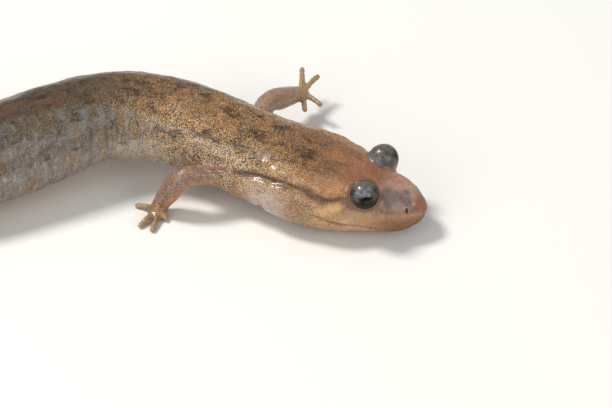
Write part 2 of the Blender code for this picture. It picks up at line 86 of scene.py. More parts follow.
# What the whole body is worked out from
bodyForm = {
    "length": 110.0,
    # the midline's bearing towards the head, in degrees from +X, at distances from the snout
    "bearings": (
        (0, -17), (7, -20), (14, -27), (20, -26), (26, -7), (33, 27), (39, 29),
        (46, 22), (54, 6), (66, -12), (80, -18), (96, -4), (110, 16),
    ),
    # distance from the snout, half width, underside, back, height share of the widest line,
    # squareness of the section, sharpness of the keel
    "stations": (
        (0.0, 1.95, 1.10, 3.55, 0.44, 2.2, 0.0),
        (1.0, 2.05, 0.80, 3.95, 0.44, 2.3, 0.0),
        (2.6, 2.60, 0.58, 4.45, 0.43, 2.4, 0.0),
        (4.6, 3.25, 0.45, 5.00, 0.42, 2.5, 0.0),
        (6.5, 4.10, 0.40, 5.48, 0.42, 2.6, 0.0),
        (9.0, 4.60, 0.38, 6.00, 0.42, 2.6, 0.0),
        (11.0, 4.75, 0.38, 6.45, 0.43, 2.5, 0.0),
        (13.4, 4.45, 0.55, 6.85, 0.44, 2.3, 0.0),
        (15.0, 4.30, 0.60, 7.10, 0.45, 2.2, 0.0),
        (18.0, 4.12, 0.90, 7.73, 0.46, 2.15, 0.0),
        (22.0, 3.85, 1.40, 8.43, 0.47, 2.15, 0.0),
        (28.0, 3.75, 1.75, 8.85, 0.48, 2.15, 0.0),
        (36.0, 4.15, 0.75, 8.69, 0.48, 2.15, 0.0),
        (44.0, 4.05, 0.45, 8.10, 0.48, 2.15, 0.0),
        (49.0, 3.70, 0.50, 7.50, 0.47, 2.15, 0.0),
        (54.0, 3.20, 0.40, 6.90, 0.44, 2.1, 0.0),
        (60.0, 2.85, 0.10, 6.40, 0.42, 2.05, 0.05),
        (70.0, 2.40, -0.10, 5.90, 0.40, 2.0, 0.30),
        (84.0, 1.75, -0.10, 5.00, 0.38, 2.0, 0.50),
        (98.0, 1.10, -0.08, 3.40, 0.38, 2.0, 0.55),
        (110.0, 0.55, -0.06, 1.60, 0.40, 2.0, 0.50),
    ),
    "snoutHigh": 2.45,
    "snoutRound": {"width": 2.7, "back": 2.3, "belly": 1.9},  # how far back the snout rounds off
    "tailHigh": 0.5,
    "tailRound": 2.5,
    # lengths of skin: start, end, step between rings, points round
    "lengths": ((0.0, 13.4, 0.11, 240), (13.4, 54.0, 0.2, 120), (54.0, 110.0, 0.35, 60)),
    "tipRings": 14, "tipArc": (2.5, 62.0),  # rings that round a tip, and their degrees round it
    "measured": 1441,  # angles at which a ring is measured before its points are spaced
    # how much closer the points lie beside the mouth
    "mouthCrowd": {"more": 1.6, "width": 0.45, "reach": (0.4, 1.2, 8.5, 10.5)},
}

eyeForm = {
    "along": 4.67, "side": 2.66, "high": 4.79,
    "radius": 1.27,
    "lidOver": 1.34,  # radius of the skin that wraps the eye
    "lidBlend": 0.48,
    # the ball that cuts the lid opening: look is (ahead, out, up), and points go round and down it
    "opening": {"radius": 2.50, "out": 2.60, "look": (0.34, 0.83, 0.47), "points": (96, 64)},
    "openAngle": 71.0,  # degrees from the look to the lid edge
    "rimReach": (1.16, 1.34, 1.9, 2.1), "rimWidth": 0.10,  # where the lid edge is softened
    "gaze": (0.38, 0.87, 0.30),  # where the pupil points: ahead, out, up
    "pupil": (0.54, 0.19),  # half width and half height
    "cornea": 0.03, "corneaWidth": 0.75,  # its rise, and how far round the eye it spreads, in radians
    "points": (96, 61),  # round the pupil, and from the pupil to the back of the eye
    # how far past the lid edge its thick rim and the crease lie, and their width, in degrees
    "lidRim": {"past": 6, "rise": 0.02}, "lidCrease": {"past": 19, "depth": 0.05}, "lidWidth": 6,
}


# Curves and small shapes

def through(keys, at):
    # a smooth curve through (place, value) keys that doesn't overshoot them
    place, value = np.array(keys, float).T
    at = np.clip(at, place[0], place[-1])
    step = np.diff(place)
    rise = np.diff(value) / step
    before, after = rise[:-1], rise[1:]
    slope = np.concatenate([rise[:1], np.zeros(len(place) - 2), rise[-1:]])
    sameWay = before * after > 0
    slope[1:-1][sameWay] = 2 * (before * after)[sameWay] / (before + after)[sameWay]
    i = np.clip(np.searchsorted(place, at, "right") - 1, 0, len(step) - 1)
    t = (at - place[i]) / step[i]
    return (
        (2 * t**3 - 3 * t**2 + 1) * value[i]
        + (t**3 - 2 * t**2 + t) * step[i] * slope[i]
        + (3 * t**2 - 2 * t**3) * value[i + 1]
        + (t**3 - t**2) * step[i] * slope[i + 1]
    )


def ease(value, start, end):
    t = np.clip((value - start) / (end - start), 0, 1)
    return t * t * (3 - 2 * t)


def within(value, start, full, fall, end):
    # rises from start to full, and falls again from fall to end
    return ease(value, start, full) * ease(value, end, fall)


def bell(distance, width):
    return np.exp(-((distance / width) ** 2))


def rounded(distance, reach):
    # how far a tip has opened at a distance from it, as a quarter circle
    short = 1 - np.clip(distance / reach, 0, 1)
    return np.sqrt(1 - short**2)


def unit(vectors):
    return vectors / np.maximum(np.linalg.norm(vectors, axis=-1, keepdims=True), 1e-9)


def ripple(points, wave, seed, count=14):
    # an uneven field of about that wave length, between about -1 and 1
    rng = np.random.default_rng(seed)
    ways = unit(rng.normal(size=(count, 3))) * rng.uniform(0.75, 1.3, (count, 1)) * 2 * math.pi / wave
    phases = rng.uniform(0, 2 * math.pi, count)
    return np.cos(points @ ways.T + phases).sum(axis=-1) / math.sqrt(count * 2)


def midline():
    at = np.arange(-spineSpare, bodyForm["length"] + spineSpare, spineStep)
    bearing = np.radians(through(bodyForm["bearings"], at))
    x = -np.cumsum(np.cos(bearing)) * spineStep
    y = -np.cumsum(np.sin(bearing)) * spineStep
    return at, x - np.interp(0.0, at, x), y - np.interp(0.0, at, y), bearing


spine = midline()


def bend(points):
    # carries (along, side, high) places into the model
    at, x, y, bearing = spine
    along, side, high = np.moveaxis(np.asarray(points, float), -1, 0)
    turn = np.interp(along, at, bearing)
    return np.stack(
        [np.interp(along, at, x) - np.sin(turn) * side, np.interp(along, at, y) + np.cos(turn) * side, high],
        axis=-1,
    )


def bendVector(along, vector):
    # carries an (ahead, left, up) direction at that distance into the model
    turn = float(np.interp(along, spine[0], spine[3]))
    ahead, left, up = vector
    return np.array([
        ahead * math.cos(turn) - left * math.sin(turn),
        ahead * math.sin(turn) + left * math.cos(turn),
        up,
    ])


def straighten(points):
    # the (along, side, high) places of points in the model
    at, x, y, bearing = spine
    found = np.empty(points.shape)
    for start in range(0, len(points), atOnce):
        some = points[start:start + atOnce]
        far = (some[:, :1] - x) ** 2 + (some[:, 1:2] - y) ** 2
        i = far.argmin(axis=1)
        dx, dy = some[:, 0] - x[i], some[:, 1] - y[i]
        cos, sin = np.cos(bearing[i]), np.sin(bearing[i])
        away, side = at[i] - (dx * cos + dy * sin), dy * cos - dx * sin
        found[start:start + atOnce] = np.stack([away, side, some[:, 2]], axis=1)
    return found


def sections(along):
    # half width, underside, middle, back, squareness and keel of the body at those distances
    stations = np.array(bodyForm["stations"])
    halfWidth, belly, back, waist, squareness, keel = (
        through(stations[:, (0, k)], along) for k in range(1, stations.shape[1])
    )
    snout, snoutHigh, tailHigh = bodyForm["snoutRound"], bodyForm["snoutHigh"], bodyForm["tailHigh"]
    tailOpen = rounded(bodyForm["length"] - along, bodyForm["tailRound"])
    halfWidth = halfWidth * rounded(along, snout["width"]) * tailOpen
    back, belly = (
        tailHigh + (snoutHigh + (edge - snoutHigh) * rounded(along, reach) - tailHigh) * tailOpen
        for edge, reach in ((back, snout["back"]), (belly, snout["belly"]))
    )
    return halfWidth, belly, belly + waist * (back - belly), back, squareness, keel


def plainBody(along, around):
    # the body without its features: around is in radians, from the left side up over the back
    halfWidth, belly, middle, back, squareness, keel = (value[:, None] for value in sections(along))
    across, upward = (
        np.sign(turn) * np.abs(turn) ** (2 / squareness) for turn in (np.cos(around), np.sin(around))
    )
    high = middle + np.where(upward > 0, back - middle, middle - belly) * upward
    side = halfWidth * across * (1 - keel * np.clip(upward, 0, 1))
    return np.stack([np.broadcast_to(along[:, None], side.shape), side, high], axis=-1)


def plainNormals(along, around):
    step = np.minimum(0.02, along / 2 + 1e-4)
    down = plainBody(along + step, around) - plainBody(along - step, around)
    turn = plainBody(along, around + 0.004) - plainBody(along, around - 0.004)
    return unit(np.cross(turn, down))


def insideSections(along):
    return sections(np.clip(along, 0.05, bodyForm["length"] - 0.05))


def bodyRatio(places):
    # 1 on the plain body's surface, less inside it and more outside
    along, side, high = np.moveaxis(places, -1, 0)
    halfWidth, belly, middle, back, squareness, keel = insideSections(along)
    upward = np.where(high > middle, (high - middle) / (back - middle), (middle - high) / (middle - belly))
    across = np.abs(side) / (halfWidth * (1 - keel * np.clip(np.where(high > middle, upward, 0), 0, 1)))
    return (across**squareness + np.abs(upward) ** squareness) ** (1 / squareness)


def girthAngle(places):
    # degrees round the body from the line of the back: 90 at the widest line, 180 under the belly
    along, side, high = np.moveaxis(places, -1, 0)
    halfWidth, belly, middle, back, _, _ = insideSections(along)
    upward = (high - middle) / np.where(high > middle, back - middle, middle - belly)
    return np.degrees(np.arctan2(np.abs(side) / halfWidth, upward))


# Folds, grooves and swellings of the skin

headRelief = {
    "swellings": (  # on both sides: place, reach and rise
        {"at": (8.6, 3.7, 4.0), "reach": (1.9, 1.5, 1.1), "rise": 0.24},  # jaw muscle
        {"at": (3.0, 0.0, 4.7), "reach": (1.3, 1.1, 1.0), "rise": -0.12},  # dip between the eyes
        {"at": (2.4, 1.5, 4.1), "reach": (0.9, 0.35, 0.5), "rise": 0.09},  # ridge from the eye to the nostril
        {"at": (1.35, 1.55, 3.25), "reach": (0.45, 0.42, 0.38), "rise": 0.10},  # swelling round the nostril
        {"at": (3.3, 2.6, 3.3), "reach": (0.8, 0.6, 0.5), "rise": -0.08},  # hollow before the eye
        {"at": (6.9, 3.9, 3.3), "reach": (0.9, 0.7, 0.7), "rise": 0.07},  # cheek
        {"at": (6.6, 1.9, 5.6), "reach": (1.1, 0.8, 0.6), "rise": 0.08},  # behind the eye
        {"at": (9.8, 0.0, 6.3), "reach": (2.2, 0.5, 0.8), "rise": -0.07},  # midline of the crown
        {"at": (8.9, 3.4, 5.35), "reach": (1.1, 0.5, 0.28), "rise": 0.13},  # crest over the cheek groove
    ),
    # the groove from the back of the eye to the neck, as distance and height
    "cheekGroove": (
        (5.6, 4.40), (7.3, 4.28), (8.1, 4.45), (8.8, 4.72), (9.8, 4.90), (11.0, 5.08), (12.8, 5.05),
        (15.0, 4.85),
    ),
    "cheekDepth": 0.30, "cheekWidth": 0.25, "cheekReach": (5.7, 6.8, 13.2, 15.4),
    "ridgeOver": {"off": 0.62, "width": 0.34, "rise": 0.13, "under": 0.078, "fade": (13.0, 10.6)},
    "mouthLine": (
        (-1.5, 1.20), (1.7, 1.30), (3.0, 1.45), (4.2, 1.66), (6.5, 2.30), (7.6, 2.66), (8.2, 2.92),
        (8.7, 3.0),
    ),
    "mouthDepth": 0.17, "mouthWidth": 0.10, "mouthCorner": (8.75, 8.2),
    "lip": {"rise": 0.09, "off": 0.36, "width": 0.26, "fade": (8.8, 7.6)},
    "lipGroove": {  # from the nostril to the lip, leaning forwards as it goes down
        "along": 1.20, "reach": (1.35, 1.5, 2.7, 2.95), "side": (0.9, 1.1), "lean": 0.12,
        "depth": 0.07, "width": 0.09,
    },
    # it curves back towards the sides, with a slight swelling in front
    "throatFold": {
        "along": 13.5, "curve": 0.35, "depth": 0.20, "width": 0.34, "fade": (3.8, 1.8),
        "ahead": 0.6, "rise": 0.04, "riseWidth": 0.4, "riseFade": (3.6, 1.6),
    },
    "neckFolds": ((11.7, 0.06, 0.22), (15.4, 0.16, 0.26), (16.3, 0.07, 0.2)),  # distance, depth, width
    "neckLean": 0.30, "neckMiddle": 3.6, "neckFade": (6.4, 5.2),
}

trunkRelief = {
    "forelimb": 16.9, "hindlimb": 48.8,
    "grooves": 14, "depth": 0.15, "uneven": 0.45, "width": 0.30, "bulge": 0.03,
    "grooveTop": (7.2, 5.6),  # heights between which the side grooves fade in
    "backGroove": {"depth": 0.16, "width": 0.50, "from": 14.0, "to": 58.0},
    "bellyGroove": {"depth": 0.07, "width": 0.5, "reach": (16, 20, 48, 51)},
    "tailGrooves": 20, "tailStart": 55.5, "tailDepth": 0.09, "tailWidth": 0.34, "tailFade": (106.0, 70.0),
    "chevron": {"lean": 0.25, "middle": 2.8},  # the tail's grooves bend at mid height
    "vent": {"along": 53.0, "reach": (1.5, 0.9), "rise": 0.22, "slit": 0.20, "slitReach": (0.8, 0.12)},
}
costalPitch = (trunkRelief["hindlimb"] - trunkRelief["forelimb"]) / (trunkRelief["grooves"] + 1)


def swelling(places, at, reach, rise):
    mirrored = places * (1, 0, 1) + np.abs(places) * (0, 1, 0)
    return rise * np.exp(-(((mirrored - at) / reach) ** 2).sum(axis=-1))


def headLift(places, normals):
    # how far the head's skin rises or sinks: swellings, cheek groove, mouth, lips and folds
    along, side, high = np.moveaxis(places, -1, 0)
    flank = np.abs(normals[..., 1])
    form = headRelief
    lift = sum(swelling(places, **shape) for shape in form["swellings"])
    above = high - through(form["cheekGroove"], along) - 0.06 * ripple(places, 1.6, 5)
    reach = within(along, *form["cheekReach"]) * ease(flank, 0.2, 0.5)
    lift -= form["cheekDepth"] * reach * bell(above, form["cheekWidth"])
    ridge = form["ridgeOver"]
    lift += ridge["rise"] * reach * ease(along, *ridge["fade"]) * bell(above - ridge["off"], ridge["width"])
    lift += ridge["under"] * reach * bell(above + ridge["off"], ridge["width"])
    above = high - through(form["mouthLine"], along)
    lift -= form["mouthDepth"] * ease(along, *form["mouthCorner"]) * bell(above, form["mouthWidth"])
    lip, groove, fold = form["lip"], form["lipGroove"], form["throatFold"]
    for off in (lip["off"], -lip["off"]):
        lift += lip["rise"] * bell(above - off, lip["width"]) * ease(along, *lip["fade"])
    down = within(high, *groove["reach"]) * ease(np.abs(side), *groove["side"])
    leaning = along - groove["along"] + groove["lean"] * (groove["reach"][-1] - high)
    lift -= groove["depth"] * down * bell(leaning, groove["width"])
    curved = along - fold["along"] + fold["curve"] * (np.abs(side) / 4) ** 2
    lift -= fold["depth"] * bell(curved, fold["width"]) * ease(high, *fold["fade"])
    lift += fold["rise"] * bell(curved + fold["ahead"], fold["riseWidth"]) * ease(high, *fold["riseFade"])
    for place, depth, width in form["neckFolds"]:
        bent = along - place - form["neckLean"] * (high - form["neckMiddle"])
        bent = bent - 0.15 * ripple(places, 3.0, 11)
        lift -= depth * bell(bent, width) * ease(flank, 0.45, 0.8) * ease(high, *form["neckFade"])
    return lift


def trunkLift(places, normals):
    # the same for the trunk and tail: side grooves, the grooves of back and belly, and the vent
    along, side, high = np.moveaxis(places, -1, 0)
    flank, upward = np.abs(normals[..., 1]), normals[..., 2]
    wander = 0.10 * ripple(places, 3.5, 3)
    form, start = trunkRelief, trunkRelief["forelimb"]
    lift = form["bulge"] * within(along, start + 0.9, start + 1.6, 48.5, 50.0) * ease(flank, 0.3, 0.8)
    down = ease(flank, 0.35, 0.85) * ease(high, *form["grooveTop"])
    for k in range(form["grooves"]):
        depth = form["depth"] * (1 + form["uneven"] * math.sin(2.4 * k + 0.6))
        lift -= depth * bell(along - start - costalPitch * (k + 1) - wander, form["width"]) * down
    down = ease(along, *form["tailFade"]) * ease(flank, 0.3, 0.8)
    bent = form["chevron"]["lean"] * np.abs(high - form["chevron"]["middle"])
    for k in range(form["tailGrooves"]):
        off = along - form["tailStart"] - costalPitch * k - wander + bent
        lift -= form["tailDepth"] * down * bell(off, form["tailWidth"])
    back, belly, vent = form["backGroove"], form["bellyGroove"], form["vent"]
    down = within(along, back["from"], back["from"] + 3, back["to"] - 4, back["to"])
    lift -= back["depth"] * down * ease(upward, 0.4, 0.7) * bell(side, back["width"])
    down = within(along, *belly["reach"]) * ease(upward, -0.5, -0.8)
    lift -= belly["depth"] * down * bell(side, belly["width"])
    mound = bell(along - vent["along"], vent["reach"][0]) * bell(side, vent["reach"][1])
    slit = bell(along - vent["along"], vent["slitReach"][0]) * bell(side, vent["slitReach"][1])
    return lift + ease(upward, -0.2, -0.7) * (vent["rise"] * mound - vent["slit"] * slit)


def unevenLift(places, normals):
    # soft unevenness everywhere, with shallow wrinkles on the flanks and neck
    along, flank = places[..., 0], np.abs(normals[..., 1])
    calm = ease(along, 0.5, 6.0)
    lift = 0.035 * calm * ripple(places, 2.6, 21) + 0.016 * (0.4 + calm) * ripple(places, 1.0, 22)
    creases = np.clip(np.abs(ripple(places * (1.0, 0.35, 0.35), 0.75, 23)), 0, 0.5) - 0.3
    return lift + 0.055 * creases * ease(flank, 0.3, 0.8) * within(along, 7.5, 14, 60, 100)


def eyeCentre(sign):
    return np.array([eyeForm["along"], sign * eyeForm["side"], eyeForm["high"]])


def eyeLook(sign):
    # the way out through the middle of the lid opening
    return unit(np.array(eyeForm["opening"]["look"])) * (-1, sign, 1)


def roundEyes(places):
    # for each eye: its side, the way from its centre, the distance, and the degrees from its look
    for sign in (1, -1):
        off = places - eyeCentre(sign)
        distance = np.linalg.norm(off, axis=-1)
        cosine = (off @ eyeLook(sign)) / np.maximum(distance, 1e-6)
        yield sign, off, distance, np.degrees(np.arccos(np.clip(cosine, -1, 1)))


def lidPush(places, normals):
    # how far the skin is pushed out to wrap each eye, blended into the head
    push = np.zeros(places.shape[:-1])
    radius, blend = eyeForm["lidOver"], eyeForm["lidBlend"]
    for sign in (1, -1):
        low = np.zeros_like(push)
        top = np.full_like(push, 2 * radius)
        for _ in range(24):
            t = (low + top) / 2
            ball = np.linalg.norm(places + t[..., None] * normals - eyeCentre(sign), axis=-1) - radius
            mix = np.clip(blend - np.abs(t - ball), 0, None) / blend
            inside = np.minimum(t, ball) - mix**2 * blend / 4 < 0
            low = np.where(inside, t, low)
            top = np.where(inside, top, t)
        push = np.maximum(push, low)
    return push


def lidLift(places):
    # the thick edge of both lids, and the crease where the upper lid meets the head
    lift = np.zeros(places.shape[:-1])
    rim, crease, width = eyeForm["lidRim"], eyeForm["lidCrease"], eyeForm["lidWidth"]
    for _, off, distance, angle in roundEyes(places):
        near = bell(distance - eyeForm["lidOver"], 0.40)
        past = angle - eyeForm["openAngle"]
        lift += rim["rise"] * near * bell(past - rim["past"], width) * ease(off[..., 2], 0.2, -0.6)
        lift -= crease["depth"] * near * bell(past - crease["past"], width) * ease(off[..., 2], 0.0, -0.8)
    return lift


def ringAngles(along, count):
    # angles that space the points of each ring evenly, and closer together beside the mouth
    dense = np.linspace(math.pi / 2, math.pi / 2 + 2 * math.pi, bodyForm["measured"])
    places = plainBody(along, np.broadcast_to(dense, (len(along), len(dense))))
    run = np.linalg.norm(np.diff(places, axis=1), axis=-1)
    at, _, high = np.moveaxis((places[:, 1:] + places[:, :-1]) / 2, -1, 0)
    crowd = bodyForm["mouthCrowd"]
    beside = bell(high - through(headRelief["mouthLine"], at), crowd["width"]) * within(at, *crowd["reach"])
    run = run * (1 + crowd["more"] * beside)
    total = np.concatenate([np.zeros((len(along), 1)), np.cumsum(run, axis=1)], axis=1)
    share = np.arange(count) / count
    return np.array([np.interp(share * line[-1], line, dense) for line in total])


def skinRings(along, count):
    around = ringAngles(along, count)
    places, normals = plainBody(along, around), plainNormals(along, around)
    lift = headLift(places, normals) + trunkLift(places, normals) + unevenLift(places, normals)
    places = places + lift[..., None] * normals
    if along[0] < eyeForm["along"]:
        places = places + lidPush(places, normals)[..., None] * normals
        places = places + lidLift(places)[..., None] * normals
    return bend(places)


def tipSpread(reach):
    # distances from a rounded tip, evenly spread round its curve
    turn = np.linspace(*np.radians(bodyForm["tipArc"]), bodyForm["tipRings"])
    return reach * (1 - np.cos(turn))


def ringPlaces(start, end, step):
    first = tipSpread(bodyForm["snoutRound"]["width"]) if start == 0 else np.array([start])
    last = end - tipSpread(bodyForm["tailRound"])[::-1] if end == bodyForm["length"] else np.array([end])
    between = np.linspace(first[-1], last[0], max(3, round((last[0] - first[-1]) / step) + 1))
    return np.concatenate([first[:-1], between, last[1:]])


def linked(name, data):
    # a new object of that name in the scene
    item = bpy.data.objects.new(name, data)
    bpy.context.scene.collection.objects.link(item)
    return item


def meshOf(name, points, faces):
    # a mesh object whose faces point outwards
    mesh = bpy.data.meshes.new(name)
    mesh.from_pydata(np.asarray(points).tolist(), [], faces)
    shape = bmesh.new()
    shape.from_mesh(mesh)
    bmesh.ops.remove_doubles(shape, verts=shape.verts, dist=1e-4)
    bmesh.ops.recalc_face_normals(shape, faces=shape.faces)
    if shape.calc_volume(signed=True) < 0:
        bmesh.ops.reverse_faces(shape, faces=shape.faces)
    shape.to_mesh(mesh)
    shape.free()
    return linked(name, mesh)


def loft(name, rings, tips):
    # closed skin over rings of points and a point at each end: a ring has as many points as the
    # one before it, or half as many
    starts = np.cumsum([0] + [len(ring) for ring in rings]).tolist()
    faces = []
    for here, there, after in zip(starts, starts[1:], starts[2:]):
        n, m = there - here, after - there
        for k in range(m):
            right = there + (k + 1) % m
            if n == m:
                faces.append((here + k, here + (k + 1) % m, right, there + k))
            else:  # two of this ring's points to one of the next ring's
                a, b, c = here + 2 * k, here + 2 * k + 1, here + (2 * k + 2) % n
                faces += [(a, b, there + k), (b, right, there + k), (b, c, right)]
    for tip, start, count in ((starts[-1], 0, len(rings[0])), (starts[-1] + 1, starts[-2], len(rings[-1]))):
        faces += [(start + k, start + (k + 1) % count, tip) for k in range(count)]
    return meshOf(name, np.concatenate([*rings, tips]), faces)


def bodySkin():
    # rings of skin from snout to tail tip, with fewer points round where the body is slim
    rings = []
    for k, (start, end, step, count) in enumerate(bodyForm["lengths"]):
        rings.extend(skinRings(ringPlaces(start, end, step)[min(k, 1):], count))
    return loft("body", rings, [rings[0].mean(axis=0), rings[-1].mean(axis=0)])


# Limbs: the root is a place on the body, and steps run from joint to joint as (length, bearing
# in degrees, height reached). A toe is its knuckle's bearing from the palm, its own bearing, its
# length past the knuckle and how far its tip is raised. A tight limb bends close to its joints.
# Thickness is the half width at shares of the length.
limbForm = {
    "foreThickness": (
        (0.0, 1.22), (0.1, 1.04), (0.22, 0.93), (0.42, 0.90), (0.47, 0.90), (0.64, 1.05), (0.80, 0.94),
        (0.90, 0.80), (1.0, 0.72),
    ),
    "hindThickness": (
        (0.0, 1.62), (0.1, 1.42), (0.22, 1.31), (0.40, 1.10), (0.47, 1.08), (0.62, 1.14), (0.80, 0.94),
        (0.90, 0.86), (1.0, 0.80),
    ),
    "flat": 0.92, "pointsRound": 24, "pointsDown": 60, "palmPoints": (32, 20),
    "voxel": {"fore": 0.10, "hind": 0.13}, "softening": (0.5, 4),
    "limbs": (
        {
            "name": "fore_right", "root": (16.6, -3.0, 3.4),
            "steps": ((4.0, 196, 4.25), (3.75, 170, 1.05), (0.92, 240, 0.44)),
            "tight": True, "palm": (0.85, 0.85, 0.44),
            "toes": ((-30, -66, 0.6, 0), (-87, -104, 1.8, 0), (-140, -126, 1.7, 0), (121, 155, 1.75, 0)),
            "lift": 0.0,
        },
        {
            "name": "fore_left", "root": (16.9, 2.9, 3.6),
            "steps": ((4.1, 81, 4.25), (4.1, 51, 2.9), (1.05, 51, 2.45)),
            "tight": True, "palm": (0.85, 0.85, 0.44),
            "toes": ((-65, -85, 1.7, 0), (-21, -42, 1.75, 0), (45, 60, 2.3, 0.5), (75, 90, 2.4, 0.9)),
            "lift": 2.0,
        },
        {
            "name": "hind_right", "root": (48.8, -2.3, 3.3),
            "steps": ((5.0, -50, 3.7), (4.6, -112, 1.0), (1.2, -82, 0.45)),
            "tight": False, "palm": (1.1, 1.05, 0.48),
            "toes": (
                (-5, -28, 1.1, 0), (-40, -50, 2.1, 0), (-78, -74, 2.6, 0), (-115, -100, 2.4, 0),
                (-150, -130, 1.6, 0),
            ),
            "lift": 0.0,
        },
        {
            "name": "hind_left", "root": (48.8, 2.3, 3.3),
            "steps": ((5.0, 120, 3.7), (4.6, 158, 1.0), (1.2, 122, 0.45)),
            "tight": False, "palm": (1.1, 1.05, 0.48),
            "toes": (
                (42, 62, 1.1, 0), (78, 86, 2.1, 0), (114, 110, 2.6, 0), (150, 136, 2.4, 0),
                (188, 166, 1.6, 0),
            ),
            "lift": 0.0,
        },
    ),
    "jointReach": 0.48,  # share of each length that a tight joint's rounding takes up
    "toe": {"knuckle": 0.65, "tip": 0.27, "sunk": 0.06, "arch": 0.14, "pointsDown": 24, "tipPoints": 9},
    "toeThickness": (
        (0.0, 0.33), (0.28, 0.27), (0.36, 0.285), (0.52, 0.235), (0.62, 0.255), (0.78, 0.225), (0.9, 0.265),
        (1.0, 0.25),
    ),
}


def stepped(start, bearing, length, high):
    angle = math.radians(bearing)
    return np.array([start[0] + length * math.cos(angle), start[1] + length * math.sin(angle), high])


def limbJoints(limb):
    points = [bend(limb["root"])]
    for length, bearing, high in limb["steps"]:
        drop = high - points[-1][2]
        points.append(stepped(points[-1], bearing, math.sqrt(length**2 - drop**2), high))
    return np.array(points)


def cornersRounded(points, rounds=4):
    for _ in range(rounds):
        near = points[:-1] * 0.75 + points[1:] * 0.25
        far = points[:-1] * 0.25 + points[1:] * 0.75
        middle = np.stack([near, far], axis=1).reshape(-1, 3)
        points = np.concatenate([points[:1], middle[1:-1], points[-1:]])
    return points


def jointsBraced(points, reach):
    # adds a point each side of every inner joint, so that rounding stays close to it
    braced = [points[0]]
    for before, joint, after in zip(points, points[1:], points[2:]):
        braced += [joint + (before - joint) * reach, joint, joint + (after - joint) * reach]
    return np.array([*braced, points[-1]])


def spaced(path, shares):
    # the points that lie at those shares of the path's length
    run = np.concatenate([[0], np.cumsum(np.linalg.norm(np.diff(path, axis=0), axis=1))])
    return np.stack([np.interp(shares * run[-1], run, path[:, k]) for k in range(3)], axis=-1)


def limbPath(limb):
    # places down the limb with the half width at each
    joints = limbJoints(limb)
    path = cornersRounded(jointsBraced(joints, limbForm["jointReach"]) if limb["tight"] else joints)
    shares = np.linspace(0, 1, limbForm["pointsDown"])
    thickness = limbForm["foreThickness" if limb["name"].startswith("fore") else "hindThickness"]
    return spaced(path, shares), through(thickness, shares)


def toePath(limb, palm, knuckleBearing, bearing, length, raised):
    # places from inside the palm over the knuckle to the rounded tip, with the half width at each
    form = limbForm["toe"]
    endHigh = form["tip"] - form["sunk"] + limb["lift"] + raised
    knuckle = stepped(palm, knuckleBearing, form["knuckle"], palm[2] * 0.5 + endHigh * 0.5 + form["arch"])
    tip = stepped(knuckle, bearing, length, endHigh)
    middle = (knuckle + tip) / 2 + (0, 0, form["arch"] / 2)
    path = cornersRounded(np.array([palm, knuckle, middle, tip]))
    roundOff = form["tip"] / (form["knuckle"] + length)
    turn = np.linspace(0, math.pi / 2, form["tipPoints"])[1:]
    straight = np.linspace(0, 1 - roundOff, form["pointsDown"])
    shares = np.concatenate([straight, 1 - roundOff + roundOff * np.sin(turn)])
    wide = through(limbForm["toeThickness"], shares) * rounded(1 - shares + 0.002, roundOff)
    return spaced(path, shares), wide


def tubeTree():
    # follows each path with a rounded section as wide as the path's radius
    tree = bpy.data.node_groups.new("fleshTube", "GeometryNodeTree")
    inputs = {"Paths": "Geometry", "Points round": "Int", "Flatness": "Float", "Finish": "Material"}
    for name, kind in inputs.items():
        tree.interface.new_socket(name, in_out="INPUT", socket_type="NodeSocket" + kind)
    tree.interface.new_socket("Tubes", in_out="OUTPUT", socket_type="NodeSocketGeometry")
    kinds = {
        "start": "NodeGroupInput", "scale": "ShaderNodeCombineXYZ", "end": "NodeGroupOutput",
        "circle": "GeometryNodeCurvePrimitiveCircle", "flatten": "GeometryNodeTransform",
        "radius": "GeometryNodeInputRadius", "sweep": "GeometryNodeCurveToMesh",
        "real": "GeometryNodeRealizeInstances", "finish": "GeometryNodeSetMaterial",
    }
    nodes = {name: tree.nodes.new(kind) for name, kind in kinds.items()}
    for source, output, target, entry in (
        ("start", "Points round", "circle", "Resolution"), ("start", "Flatness", "scale", "Y"),
        ("circle", "Curve", "flatten", "Geometry"), ("scale", "Vector", "flatten", "Scale"),
        ("start", "Paths", "sweep", "Curve"), ("flatten", "Geometry", "sweep", "Profile Curve"),
        ("radius", "Radius", "sweep", "Scale"), ("sweep", "Mesh", "real", "Geometry"),
        ("real", "Geometry", "finish", "Geometry"), ("start", "Finish", "finish", "Material"),
        ("finish", "Geometry", "end", "Tubes"),
    ):
        tree.links.new(nodes[source].outputs[output], nodes[target].inputs[entry])
    for name, entry in (("circle", "Radius"), ("scale", "X"), ("scale", "Z")):
        nodes[name].inputs[entry].default_value = 1.0
    nodes["sweep"].inputs["Fill Caps"].default_value = True
    return tree


def pathObject(name, paths):
    curve = bpy.data.curves.new(name, "CURVE")
    curve.dimensions = "3D"
    curve.twist_mode = "Z_UP"
    for points, wide in paths:
        spline = curve.splines.new("POLY")
        spline.points.add(len(points) - 1)
        spline.points.foreach_set("co", np.column_stack([points, np.ones(len(points))]).ravel())
        spline.points.foreach_set("radius", wide)
    return linked(name, curve)


def plainMesh(item, name):
    # the evaluated object as a plain mesh, in place of the object
    graph = bpy.context.evaluated_depsgraph_get()
    made = linked(name, bpy.data.meshes.new_from_object(item.evaluated_get(graph)))
    bpy.data.objects.remove(item)
    return made


